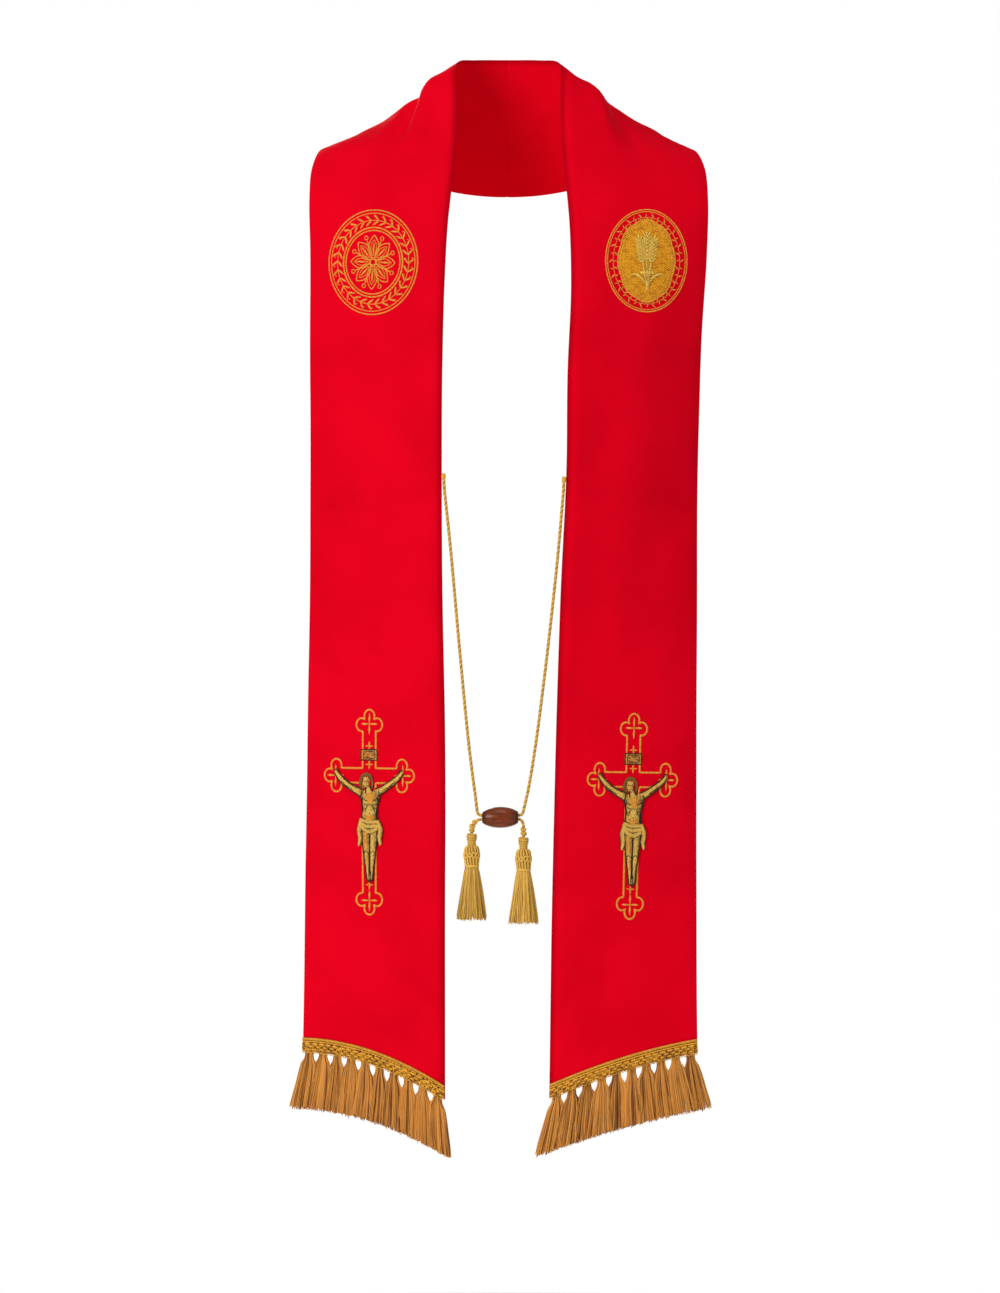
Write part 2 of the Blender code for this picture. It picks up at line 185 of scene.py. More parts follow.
bandShape = {
    "width": 183.0,
    "wall": 2.6,
    "length": 1427.0,
    "gap": 0.3,
    # each row: the distance from the centre back, then the inner edge, the middle and the outer edge
    # as x, y, z in mm, with x outwards
    "left": [
        (0, 0, 66, 70, 0, 84, -16, 0, 116, -102),
        (45, 41, 52, 70, 55, 79, -13, 61, 112, -97),
        (88, 62, 18, 67, 101, 60, -4, 118, 98, -82),
        (118, 65, -6, 54, 131, 33, 4, 162, 85, -65),
        (155, 64, -28, 22, 140, 12, -4, 192, 66, -54),
        (195, 64, -48, -14, 147, -12, -20, 216, 40, -45),
        (235, 65, -68, -48, 152, -38, -41, 234, 10, -44),
        (280, 69, -90, -90, 157, -64, -76, 245, -28, -68),
        (330, 74, -107, -138, 162, -86, -120, 248, -56, -106),
        (405, 78, -120, -212, 166, -99, -190, 247.5, -62, -172),
        (520, 81, -126, -327, 168, -100, -303, 247.5, -54, -281),
        (640, 82, -128, -447, 168, -100, -421, 247, -51, -397),
        (790, 81, -127, -597, 168, -99, -569, 247.5, -52, -544),
        (975, 77.5, -124, -782, 166, -101, -752, 249.5, -62, -726),
        (1190, 77.5, -122, -997, 167, -103, -966, 253, -72, -938),
        (1400, 77.5, -121, -1207, 168, -105, -1175, 255.5, -79, -1149),
        (1427, 77.5, -121, -1234, 168, -105, -1202, 256, -80, -1176),
        (1500, 75, -123, -1306, 172, -107, -1274, 267, -80, -1248),
    ],
    "right": [
        (0, 0, 66, 70, 0, 84, -16, 0, 116, -102),
        (45, 42, 52, 70, 56, 79, -13, 62, 112, -97),
        (88, 66, 18, 67, 105, 60, -4, 120, 98, -82),
        (118, 69, -6, 54, 138, 33, 3, 166, 85, -65),
        (155, 68, -28, 22, 149, 12, -5, 196, 66, -54),
        (195, 68, -48, -14, 152, -12, -19, 220, 40, -46),
        (235, 70, -68, -48, 157, -38, -41, 237, 10, -45),
        (280, 74, -90, -90, 163, -65, -76, 249, -28, -68),
        (330, 78, -108, -138, 167, -87, -120, 252.5, -56, -108),
        (405, 80, -121, -212, 169, -98, -191, 251, -58, -174),
        (520, 76, -126, -327, 165, -99, -302, 244.5, -54, -281),
        (640, 74.5, -128, -447, 162, -100, -420, 241, -54, -396),
        (790, 67.5, -127, -597, 157, -100, -567, 239, -62, -540),
        (975, 61.5, -124, -782, 152, -104, -752, 238, -76, -724),
        (1190, 56, -122, -997, 148, -111, -968, 237.5, -88, -941),
        (1400, 53, -121, -1205, 146, -116, -1178, 238, -106, -1149),
        (1427, 52.5, -121, -1232, 146, -117, -1205, 238.5, -108, -1176),
        (1500, 40, -123, -1304, 147, -120, -1277, 252, -112, -1246),
    ],
    # soft folds: along and across at both ends, width, height, all in mm
    "leftFolds": [
        (62, 22, 250, 58, 14, 6.0),
        (92, 49, 262, 94, 11, -8.0),
        (110, 104, 232, 160, 22, 5.0),
        (40, 120, 190, 150, 22, 3.0),
        (300, 60, 760, 96, 34, 2.2),
        (420, 140, 1000, 120, 30, -2.0),
        (800, 60, 1440, 74, 36, 2.4),
        (980, 132, 1440, 128, 28, 2.0),
    ],
    "rightFolds": [
        (66, 32, 240, 66, 15, 4.5),
        (98, 62, 262, 100, 13, -3.6),
        (110, 108, 234, 160, 22, 4.8),
        (50, 118, 190, 146, 22, 3.0),
        (310, 110, 820, 84, 34, 2.2),
        (500, 40, 1010, 46, 26, -1.8),
        (840, 118, 1440, 96, 34, 2.6),
    ],
    # small creases that only the finer mesh can carry
    "leftCreases": [
        (110, 42, 216, 62, 5, 1.9),
        (60, 30, 150, 36, 6, 0.8),
        (470, 20, 640, 52, 12, -0.7),
        (690, 150, 900, 170, 12, 0.7),
        (1120, 100, 1330, 110, 14, -0.8),
    ],
    "rightCreases": [
        (116, 46, 214, 62, 6, 1.4),
        (66, 34, 150, 40, 6, 0.8),
        (450, 16, 600, 44, 12, -0.7),
        (900, 150, 1180, 160, 14, 0.7),
        (1200, 60, 1380, 72, 12, -0.7),
    ],
    "hemRise": {"left": 12.0, "right": 7.5},
}


def throughRows(rows, along):
    table = np.array(rows, float)
    at, values = table[:, 0], table[:, 1:]
    steps = np.diff(at)
    rises = np.diff(values, axis=0) / steps[:, None]
    slopes = np.zeros_like(values)
    weights = (steps[1:] / (steps[:-1] + steps[1:]))[:, None]
    slopes[1:-1] = rises[:-1] * weights + rises[1:] * (1 - weights)
    slopes[-1] = rises[-1]
    slopes[0, 0::3] = rises[0, 0::3]  # mirrored at the centre back
    place = np.clip(np.searchsorted(at, along, side="right") - 1, 0, len(steps) - 1)
    size = steps[place]
    t = np.clip((along - at[place]) / size, 0, 1)[:, None]
    size = size[:, None]
    curve = ((2 * t**3 - 3 * t**2 + 1) * values[place] + (t**3 - 2 * t**2 + t) * size * slopes[place]
             + (3 * t**2 - 2 * t**3) * values[place + 1] + (t**3 - t**2) * size * slopes[place + 1])
    return curve + np.maximum(along - at[-1], 0)[:, None] * slopes[-1]


def middleSurface(side, along, across):
    row = throughRows(bandShape[side], np.abs(along))
    t = across[:, None]
    point = ((1 - 2 * t) * (1 - t) * row[:, 0:3] + 4 * t * (1 - t) * row[:, 3:6]
             + t * (2 * t - 1) * row[:, 6:9])
    point[:, 0] *= np.where(along < 0, -1, 1)
    return point


def outwardOf(side, along, across):
    down = middleSurface(side, along + 1, across) - middleSurface(side, along - 1, across)
    over = middleSurface(side, along, across + 0.01) - middleSurface(side, along, across - 0.01)
    normal = np.cross(down, over)
    normal[along == 0, 0] = 0
    return unit(normal)


def foldHeight(side, along, across):
    height = np.zeros_like(along)
    flat = np.stack([along, across * bandShape["width"]], axis=1)
    bends = bandShape[side + "Folds"] + bandShape[side + "Creases"]
    for alongA, acrossA, alongB, acrossB, width, rise in bends:
        start = np.array([alongA, acrossA], float)
        run = np.array([alongB, acrossB], float) - start
        share = ((flat - start) @ run) / (run @ run)
        away = np.linalg.norm(flat - start - np.clip(share, 0, 1)[:, None] * run, axis=1)
        height += rise * np.exp(-(away / width) ** 2) * np.sin(math.pi * np.clip(share, 0, 1)) ** 0.7
    # slow waves of a stiff pressed band, under a millimetre high
    phase = 0.0 if side == "left" else 1.7
    waves = (0.45 * np.sin(along / 61 + across * 4.1 + phase)
             + 0.30 * np.sin(along / 37 - across * 6.3 + 2 * phase)
             + 0.22 * np.sin(across * 15 + along / 140 + phase))
    return (height + waves) * np.clip(along / 60, 0, 1) ** 2


def onCloth(side, along, across, lift):
    along, across = np.broadcast_arrays(np.asarray(along, float), np.asarray(across, float))
    shape = along.shape
    along, across = along.ravel(), across.ravel()
    raised = np.broadcast_to(np.asarray(lift, float), shape).ravel() + foldHeight(side, along, across)
    point = middleSurface(side, along, across) + outwardOf(side, along, across) * raised[:, None]
    point[:, 0] = (-1 if side == "left" else 1) * (point[:, 0] + bandShape["gap"] / 2)
    return (point * mm).reshape(*shape, 3)


def clothNormal(side, along, across):
    # from the folded surface itself, so that stitches lie down on it
    along, across = np.asarray(along, float).ravel(), np.asarray(across, float).ravel()
    down = onCloth(side, along + 1.5, across, 0) - onCloth(side, along - 1.5, across, 0)
    over = onCloth(side, along, across + 0.01, 0) - onCloth(side, along, across - 0.01, 0)
    return unit(np.cross(down, over) * (-1 if side == "left" else 1))


def hemAt(side, across):
    return bandShape["length"] - bandShape["hemRise"][side] * 4 * across * (1 - across)


def placeOnFront(side, x, z):
    # where a point of the front view lies on the band: Newton steps on the surface's x and z
    x, z = np.abs(np.asarray(x, float)), np.asarray(z, float)
    along, across = 190 - z, np.clip((x - 75) / 172, 0.02, 0.98)
    for attempt in range(8):
        here = middleSurface(side, along, across)
        byAlong = middleSurface(side, along + 1, across) - here
        byAcross = (middleSurface(side, along, across + 0.005) - here) / 0.005
        missX, missZ = x - bandShape["gap"] / 2 - here[:, 0], z - here[:, 2]
        scale = byAlong[:, 0] * byAcross[:, 2] - byAlong[:, 2] * byAcross[:, 0]
        along = along + (missX * byAcross[:, 2] - missZ * byAcross[:, 0]) / scale
        across = across + (byAlong[:, 0] * missZ - byAlong[:, 2] * missX) / scale
    return along, across


# Materials

def twillCloth():
    # polyester gabardine, piece dyed and pressed: a smooth matt red, fine twill lines just catching the light
    material, tree, shader = newMaterial("gabardineTwill", Roughness=0.62, Specular_IOR_Level=0.008)
    uv = addNode(tree, "ShaderNodeUVMap", uv_map="bandMap")
    parts = addNode(tree, "ShaderNodeSeparateXYZ", {0: uv})
    # twill lines stand 0.5 mm apart on the cloth and are drawn 1 mm apart so that they show
    slant = mathNode(tree, "MULTIPLY_ADD", parts.outputs[1], 0.62, parts.outputs[0])
    lines = mathNode(tree, "SINE", mathNode(tree, "MULTIPLY", slant, 2 * math.pi / 0.001))
    stretch = addNode(tree, "ShaderNodeMapping", {0: uv, 3: (1700, 900, 1)})
    slubs = addNode(tree, "ShaderNodeTexNoise", {"Vector": stretch, "Scale": 1.0, "Detail": 2.0})
    clouds = addNode(tree, "ShaderNodeTexNoise", {"Vector": uv, "Scale": 9.0, "Detail": 3.0})
    mixed = mathNode(tree, "MULTIPLY_ADD", slubs, 0.35, clouds)
    ramp = colorRamp(tree, mixed, (0.36, "#DC001A"), (0.78, "#F0021F"))
    # painted shade: the neck-side edge is darkened over its last few millimetres, standing in for the shade
    # where the rolled edge turns away from the light
    edge = addNode(tree, "ShaderNodeMapRange", {0: parts, 1: 0.001, 2: 0.0085, 3: 0.66, 4: 1.0},
                   interpolation_type="SMOOTHSTEP")
    paintedEdgeShade = addNode(tree, "ShaderNodeMix", {0: 1.0, 6: ramp, 7: edge}, data_type="RGBA",
                     blend_type="MULTIPLY")
    tree.links.new(paintedEdgeShade.outputs[2], shader.inputs["Base Color"])
    addBump(tree, shader, mathNode(tree, "MULTIPLY_ADD", slubs, 0.9, lines), 0.35, 0.00012)
    return material


def threadMaterial(name, light, deep, roughness=0.4, metallic=0.0):
    # each thread has its own shade, from the "shade" value that is made with it
    material, tree, shader = newMaterial(name, Roughness=roughness, Metallic=metallic, Sheen_Weight=0.04,
                                         Specular_IOR_Level=0.3)
    shade = addNode(tree, "ShaderNodeAttribute", attribute_name="shade")
    ramp = colorRamp(tree, shade.outputs["Fac"], (0.0, deep), (0.72, light))
    tree.links.new(ramp.outputs[0], shader.inputs["Base Color"])
    place = addNode(tree, "ShaderNodeTexCoord")
    fibres = addNode(tree, "ShaderNodeTexNoise", {"Vector": place.outputs["Object"], "Scale": 1400.0,
                                                  "Detail": 1.0})
    addBump(tree, shader, fibres, 0.25, 0.0002)
    return material


def polishedWood():
    # turned rosewood with a thin clear polish: a warm red brown with long faint grain; darker towards both
    # ends as painted shade where the oval turns away from the light
    material, tree, shader = newMaterial("polishedRosewood", Roughness=0.45, Specular_IOR_Level=0.12,
                                         Coat_Weight=0.45, Coat_Roughness=0.2)
    place = addNode(tree, "ShaderNodeTexCoord")
    stretch = addNode(tree, "ShaderNodeMapping", {0: place.outputs["Object"], 3: (50, 520, 520)})
    grain = addNode(tree, "ShaderNodeTexNoise", {"Vector": stretch, "Scale": 1.0, "Detail": 5.0,
                                                 "Roughness": 0.6})
    ramp = colorRamp(tree, grain, (0.3, "#561E04"), (0.7, "#96400A"))
    # how far along the bead, from 0 at its middle to 1 at both ends
    parts = addNode(tree, "ShaderNodeSeparateXYZ", {0: place.outputs["Object"]})
    fromMiddle = mathNode(tree, "MULTIPLY_ADD", parts, 1 / 0.0225, 0.0085 / 0.0225)
    # painted shade: the colour darkens to near black towards both ends
    dark = mathNode(tree, "POWER", mathNode(tree, "ABSOLUTE", fromMiddle), 4.0, clamp=True)
    mixed = addNode(tree, "ShaderNodeMix", {0: dark, 6: ramp, 7: hexColor("#240A02")}, data_type="RGBA")
    tree.links.new(mixed.outputs[2], shader.inputs["Base Color"])
    addBump(tree, shader, grain, 0.08, 0.0003)
    return material


cloth = twillCloth()
# trilobal rayon embroidery thread: bright silky gold
goldThread = threadMaterial("rayonThreadGold", "#F8AE3C", "#B0620E")
# the same thread in mustard gold, for the right emblem's filled ground
fieldThread = threadMaterial("rayonThreadMustard", "#FFC81E", "#B4760A")
# the same thread in a paler straw yellow, so that the raised wheat reads against the mustard ground
sheafThread = threadMaterial("rayonThreadStraw", "#FFD95E", "#9A6410")
# the same thread in an old-gold dye, for the figures
antiqueThread = threadMaterial("rayonThreadOldGold", "#F2C45C", "#4A300A")
# the same thread in a near-black brown, for drawn lines
outlineThread = threadMaterial("rayonThreadBrown", "#2E1A06", "#2E1A06", roughness=0.5)
# the same thread in a dark olive gold, for hair
hairThread = threadMaterial("rayonThreadOlive", "#8A6426", "#2A1904", roughness=0.5)
# lame yarn wound round a cotton core: metal-like glints; its dark end also colours the braid's tape, painted
# shade for the gaps
lameYarn = threadMaterial("lameYarn", "#FFBC38", "#702E00", roughness=0.36, metallic=0.15)
# spun rayon strands, dull honey gold
fringeYarn = threadMaterial("spunRayonHoney", "#EAA044", "#6C3004", roughness=0.5)
# twisted rayon cord, a yellower gold
cordYarn = threadMaterial("twistedRayonCord", "#F4C048", "#5A2E04")
# loose rayon yarn of the tassels, in the same gold
tasselYarn = threadMaterial("rayonTasselGold", "#F2C256", "#7A4408", roughness=0.44)
wood = polishedWood()
print("materials made")


# Node trees that repeat threads along paths

def treeWithSockets(name, sockets):
    # sockets: the name and the first value of each input, None for a material
    tree = bpy.data.node_groups.new(name, "GeometryNodeTree")
    kinds = {float: "NodeSocketFloat", int: "NodeSocketInt", type(None): "NodeSocketMaterial"}
    tree.interface.new_socket("Geometry", in_out="INPUT", socket_type="NodeSocketGeometry")
    for label, value in sockets.items():
        made = tree.interface.new_socket(label, in_out="INPUT", socket_type=kinds[type(value)])
        if value is not None:
            made.default_value = value
    tree.interface.new_socket("Geometry", in_out="OUTPUT", socket_type="NodeSocketGeometry")
    return tree, tree.nodes.new("NodeGroupInput"), tree.nodes.new("NodeGroupOutput")


def namedValue(tree, name, kind="FLOAT"):
    return addNode(tree, "GeometryNodeInputNamedAttribute", {"Name": name}, data_type=kind)


def evenPath(tree, given):
    # one spot at every pitch along the guide
    path = addNode(tree, "GeometryNodeMeshToCurve", {0: given.outputs["Geometry"]})
    return addNode(tree, "GeometryNodeResampleCurve", {"Curve": path, "Length": given.outputs["pitch"]},
                   mode="LENGTH")


def faceAlong(tree, ahead, axis):
    # stands up from the cloth, with one axis turned along the path
    stand = addNode(tree, "FunctionNodeAlignRotationToVector",
                    {"Vector": namedValue(tree, "up", "FLOAT_VECTOR")}, axis="Z")
    return addNode(tree, "FunctionNodeAlignRotationToVector",
                   {"Rotation": stand, "Vector": ahead}, axis=axis, pivot_axis="Z")


def leanOver(tree, face, angles):
    turn = addNode(tree, "FunctionNodeEulerToRotation", {0: addNode(tree, "ShaderNodeCombineXYZ", angles)})
    return addNode(tree, "FunctionNodeRotateRotation", {0: face, 1: turn}, rotation_space="LOCAL")


def layThreads(tree, given, spots, turned):
    # a slim spindle on each spot: as long as the spot says, and as wide and high as the tree's inputs say
    lengths = (namedValue(tree, "wide"), given.outputs["threadWidth"], given.outputs["threadHeight"])
    size = addNode(tree, "ShaderNodeCombineXYZ", {k: mathNode(tree, "MULTIPLY", value, 0.5)
                                                  for k, value in enumerate(lengths)})
    spindle = addNode(tree, "GeometryNodeMeshUVSphere", {"Segments": 6, "Rings": 3, "Radius": 1.0})
    upright = addNode(tree, "GeometryNodeTransform", {"Geometry": spindle, "Rotation": (0, math.pi / 2, 0)})
    return addNode(tree, "GeometryNodeInstanceOnPoints",
                   {"Points": spots, "Instance": upright, "Rotation": turned, "Scale": size})


def giveMaterial(tree, given, result, shape):
    real = addNode(tree, "GeometryNodeRealizeInstances", {0: shape})
    colored = addNode(tree, "GeometryNodeSetMaterial",
                      {"Geometry": real, "Material": given.outputs["material"]})
    tree.links.new(colored.outputs[0], result.inputs[0])


def finishThreads(tree, given, result, laid):
    # each thread keeps its place's tone, a little lighter or darker than its neighbours
    vary = addNode(tree, "FunctionNodeRandomValue", {2: -0.28, 3: 0.28, "Seed": given.outputs["seed"]})
    shade = mathNode(tree, "ADD", namedValue(tree, "tone"), vary.outputs[1], clamp=True)
    toned = addNode(tree, "GeometryNodeStoreNamedAttribute",
                    {"Geometry": laid, "Name": "shade", "Value": shade}, domain="INSTANCE", data_type="FLOAT")
    giveMaterial(tree, given, result, toned)


def stitchTree():
    # one slim thread laid across the path at every pitch, as wide as the path says
    tree, given, result = treeWithSockets("satinStitch", {
        "pitch": 0.0009, "threadWidth": 0.0011, "threadHeight": 0.0007, "slant": 0.25, "seed": 1,
        "material": None})
    face = faceAlong(tree, addNode(tree, "GeometryNodeInputTangent"), "Y")
    jitter = addNode(tree, "FunctionNodeRandomValue", {2: -0.06, 3: 0.06, "Seed": given.outputs["seed"]})
    lean = mathNode(tree, "ADD", given.outputs["slant"], jitter.outputs[1])
    laid = layThreads(tree, given, evenPath(tree, given), leanOver(tree, face, {2: lean}))
    finishThreads(tree, given, result, laid)
    return tree


def brickTree():
    # one slim thread laid at every given point, along the direction that the point holds
    tree, given, result = treeWithSockets("brickStitch", {
        "threadWidth": 0.0011, "threadHeight": 0.0007, "seed": 1, "material": None})
    spots = addNode(tree, "GeometryNodeMeshToPoints", {0: given.outputs["Geometry"]})
    face = faceAlong(tree, namedValue(tree, "run", "FLOAT_VECTOR"), "X")
    finishThreads(tree, given, result, layThreads(tree, given, spots, face))
    return tree


def strandTree():
    # a round strand along every path, as thick as the path says
    tree, given, result = treeWithSockets("roundStrands", {"sides": 5, "material": None})
    path = addNode(tree, "GeometryNodeMeshToCurve", {0: given.outputs["Geometry"]})
    ring = addNode(tree, "GeometryNodeCurvePrimitiveCircle",
                   {"Resolution": given.outputs["sides"], "Radius": 1.0})
    swept = addNode(tree, "GeometryNodeCurveToMesh", {"Curve": path, "Profile Curve": ring, "Fill Caps": True,
                                                      "Scale": namedValue(tree, "thick")})
    giveMaterial(tree, given, result, swept)
    return tree


def loopTree():
    # a small closed loop of yarn at every pitch, leaning one way and then the other
    tree, given, result = treeWithSockets("yarnLoops", {
        "pitch": 0.005, "loopWidth": 0.007, "loopHeight": 0.009, "yarn": 0.0008, "lean": 0.4, "seed": 1,
        "material": None})
    face = faceAlong(tree, addNode(tree, "GeometryNodeInputTangent"), "X")
    odd = mathNode(tree, "MODULO", addNode(tree, "GeometryNodeInputIndex"), 2.0)
    sign = mathNode(tree, "MULTIPLY_ADD", odd, 2.0, -1.0)
    lean = mathNode(tree, "MULTIPLY", sign, given.outputs["lean"])
    tip = mathNode(tree, "MULTIPLY", sign, 0.16)
    ring = addNode(tree, "GeometryNodeCurvePrimitiveCircle", {"Resolution": 12, "Radius": 1.0})
    halfWide = mathNode(tree, "MULTIPLY", given.outputs["loopWidth"], 0.5)
    halfHigh = mathNode(tree, "MULTIPLY", given.outputs["loopHeight"], 0.5)
    stretch = addNode(tree, "ShaderNodeCombineXYZ", {0: halfWide, 1: halfHigh, 2: 1.0})
    oval = addNode(tree, "GeometryNodeTransform", {"Geometry": ring, "Scale": stretch})
    yarn = addNode(tree, "GeometryNodeCurvePrimitiveCircle",
                   {"Resolution": 5, "Radius": given.outputs["yarn"]})
    loop = addNode(tree, "GeometryNodeCurveToMesh", {"Curve": oval, "Profile Curve": yarn})
    laid = addNode(tree, "GeometryNodeInstanceOnPoints", {
        "Points": evenPath(tree, given), "Instance": loop,
        "Rotation": leanOver(tree, face, {1: tip, 2: lean})})
    finishThreads(tree, given, result, laid)
    return tree


satinStitch = stitchTree()
brickStitch = brickTree()
roundStrands = strandTree()
yarnLoops = loopTree()


def runTree(guide, tree, **values):
    # runs a tree on a guide of points and edges, and gives back a plain mesh piece of the same name
    modifier = guide.modifiers.new("nodes", "NODES")
    modifier.node_group = tree
    for item in tree.interface.items_tree:
        if item.item_type == "SOCKET" and item.in_out == "INPUT" and item.name in values:
            modifier[item.identifier] = values[item.name]
    graph = bpy.context.evaluated_depsgraph_get()
    graph.update()
    mesh = bpy.data.meshes.new_from_object(guide.evaluated_get(graph), preserve_all_data_layers=True,
                                           depsgraph=graph)
    name = guide.name
    guide.modifiers.clear()
    bpy.data.objects.remove(guide)
    return placeMesh(name, mesh)


def joinGuides(name, paths):
    # paths: list of (points in metres, {value name: per-point values})
    points, edges, values = [], [], {}
    for line, given in paths:
        start = len(points)
        points.extend(line)
        edges.extend((start + i, start + i + 1) for i in range(len(line) - 1))
        for key, numbers in given.items():
            values.setdefault(key, []).append(np.asarray(numbers, float))
    guide = makeMesh(name, points, edges=edges)
    addPointValues(guide, **{key: np.concatenate(numbers) for key, numbers in values.items()})
    return guide


def strand(line, thick, shade):
    # a path for roundStrands, in metres; both values may change along it
    return line, {"thick": thick + np.zeros(len(line)), "shade": shade + np.zeros(len(line))}


def layStrands(name, paths, sides, material, slot, *nodes):
    strands = runTree(joinGuides(name, paths), roundStrands, sides=sides, material=material)
    return finishPiece(strands, slot, *nodes)


# The band

bandLook = {
    "frontColumns": 66, "backColumns": 40, "rowStep": 5.0, "edgeArc": 5, "seamOverlap": 0.25,
    # how far the inner and the outer edge roll back, and over what width
    "edgeRoll": (3.2, 1.6), "rollWidth": 7.0,
    # pressed line where the turned-in cloth ends: distance from the edge, width and depth
    "press": (8.5, 1.3, 0.30),
    # rows close to the seam, and how much and over what length the cloth is drawn in there
    "seamRows": (0, 0.8, 1.8, 3.0), "seamPinch": (0.45, 1.8),
    # angles at which the hem's edge closes, and the length over which rows slant to meet the hem
    "hemArc": (0, 0.5, 0.95, 1.3, 1.5), "hemBlend": 160,
}


def bandSection():
    # once round the band's section, as (across, lift): front face, outer edge, back face, inner edge
    look, width, radius = bandLook, bandShape["width"], bandShape["wall"] / 2
    inset = radius / width
    arc = math.pi * np.arange(1, look["edgeArc"]) / look["edgeArc"]
    front = np.linspace(inset, 1 - inset, look["frontColumns"])
    back = np.linspace(1 - inset, inset, look["backColumns"])
    across = np.concatenate([front, 1 - inset + inset * np.sin(arc), back, inset - inset * np.sin(arc)])
    lift = radius * np.concatenate([np.ones(len(front)), np.cos(arc), -np.ones(len(back)), -np.cos(arc)])
    near = np.minimum(across, 1 - across) * width
    line, spread, depth = look["press"]
    press = np.where(lift > 0, -depth * np.exp(-((near - line) / spread) ** 2), 0)
    roll = np.where(across < 0.5, *look["edgeRoll"])
    return across, lift + press - roll * np.exp(-(near / look["rollWidth"]) ** 2)


def makeBand(side):
    look, length = bandLook, bandShape["length"]
    across, lift = bandSection()
    arc = np.array(look["hemArc"])
    rowsAt = np.concatenate([look["seamRows"], np.arange(5, length - 2, look["rowStep"]),
                             length - bandShape["wall"] / 2 * (1 - np.sin(arc))])
    squeeze = np.ones(len(rowsAt))
    squeeze[-len(arc):] = np.cos(arc)
    pinch, reach = look["seamPinch"]
    seam = 1 - pinch * np.exp(-(rowsAt / reach) ** 2)
    grid, over = np.broadcast_arrays(rowsAt[:, None], across[None, :])
    blend = np.clip((grid - (length - look["hemBlend"])) / look["hemBlend"], 0, 1)
    grid = grid + (hemAt(side, over) - length) * blend
    points = onCloth(side, grid, over, lift[None, :] * (squeeze * seam)[:, None])
    points[0, :, 0] = (1 if side == "left" else -1) * look["seamOverlap"] * mm  # the halves meet at the seam
    rows, columns = grid.shape
    ends = [tuple(range(base, base + columns)) for base in (0, (rows - 1) * columns)]
    piece = makeMesh(side + "Band", points.reshape(-1, 3), gridFaces(rows, columns) + ends)
    fixNormals(piece)
    addUv(piece, "bandMap", np.stack([over.ravel() * bandShape["width"] * mm, grid.ravel() * mm], axis=1))
    piece.data.materials.append(cloth)
    finishPiece(piece, "band", side + "_half")


for side in ("left", "right"):
    makeBand(side)
print("band made")


# Embroidery

def ellipse(rx, ry, count=120, cx=0.0, cy=0.0, start=0.0, sweep=2 * math.pi):
    t = start + sweep * np.linspace(0, 1, count)
    return np.stack([cx + rx * np.cos(t), cy + ry * np.sin(t)], axis=1)


def leaf(x, y, angle, length, width):
    # a satin leaf: a short path whose width swells and closes
    t = np.linspace(0, 1, 7)
    line = np.stack([x + np.cos(angle) * length * t, y + np.sin(angle) * length * t], axis=1)
    return line, width * np.sin(math.pi * np.clip(t, 0.04, 0.96)) ** 0.8


def onPanel(place, x, y):
    # from an emblem's own x and y to the band's along and across; place: side, centre in front view and tilt
    side, centre, tilt = place
    c, s = math.cos(tilt), math.sin(tilt)
    return placeOnFront(side, centre[0] + c * x - s * y, centre[1] + s * x + c * y)


def layOnBand(place, strokes, lift):
    # strokes: (points in mm, widths in mm) in the emblem's own x and y
    made = []
    for line, widths in strokes:
        line = np.asarray(line, float)
        run = runAlong(line)
        count = max(2, int(run[-1] / 1.8) + 1)
        at = np.linspace(0, run[-1], count)
        wide = np.interp(at, run, np.broadcast_to(np.asarray(widths, float), run.shape))
        spot = onPanel(place, *pointsAt(line, run, at).T)
        made.append((onCloth(place[0], *spot, bandShape["wall"] / 2 + lift),
                     {"up": clothNormal(place[0], *spot), "tone": np.full(count, 0.62), "wide": wide * mm}))
    return made


def brickFill(name, place, spots, material, seed, lift=0.15):
    # spots: rows of x, y, direction, length, tone and extra lift, one for each thread
    side = place[0]
    x, y, turn, length, tone, raised = np.array(spots, float).T
    spot = onPanel(place, x, y)
    ahead = onPanel(place, x + 0.5 * np.cos(turn), y + 0.5 * np.sin(turn))
    height = bandShape["wall"] / 2 + lift + raised
    points = onCloth(side, *spot, height)
    guide = makeMesh(name, points)
    addPointValues(guide, up=clothNormal(side, *spot), run=unit(onCloth(side, *ahead, height) - points),
                   wide=length * mm, tone=tone)
    finishPiece(runTree(guide, brickStitch, threadWidth=1.2 * mm, threadHeight=0.8 * mm, seed=seed,
                        material=material), "braid")


def embroider(name, place, strokes, material, seed, lift=0.15, pitch=0.9, threadWidth=1.15, threadHeight=0.9,
              slant=0.25):
    guide = joinGuides(name, layOnBand(place, strokes, lift))
    finishPiece(runTree(guide, satinStitch, pitch=pitch * mm, threadWidth=threadWidth * mm,
                        threadHeight=threadHeight * mm, slant=slant, seed=seed, material=material), "braid")


leftEmblem = {
    "place": ("left", (-166.6, -188.2), -0.05), "rx": 56.5, "ry": 66.0, "line": 2.0,
    # the wreath: its share of the oval's size, its leaves, and the shares where its berries lie
    "wreath": 0.79, "leaves": 30, "leafLength": 9.5, "leafWidth": 3.4, "berries": (0.865, 0.715),
    # the rosette: each petal's two outer and two inner sides, as bulge, start, reach and width of the line
    "petals": 8, "stretch": (0.92, 1.12),
    "petalSides": [(7.0, 4, 26, 1.7), (-7.0, 4, 26, 1.7), (4.0, 7, 18, 1.1), (-4.0, 7, 18, 1.1)],
}
rightEmblem = {
    "place": ("right", (173.8, -186.2), 0.0), "rx": 52.0, "ry": 64.5, "line": 1.9,
    "sprigs": 36, "ring": (0.80, 0.835), "fieldHalf": (34.0, 49.0), "row": 1.05, "stitch": 4.4,
    # the sheaf: the lean and top of each stem, and the foot they share
    "stems": [(-0.36, 28), (0.0, 34), (0.36, 28)], "foot": -36, "grains": 7,
}
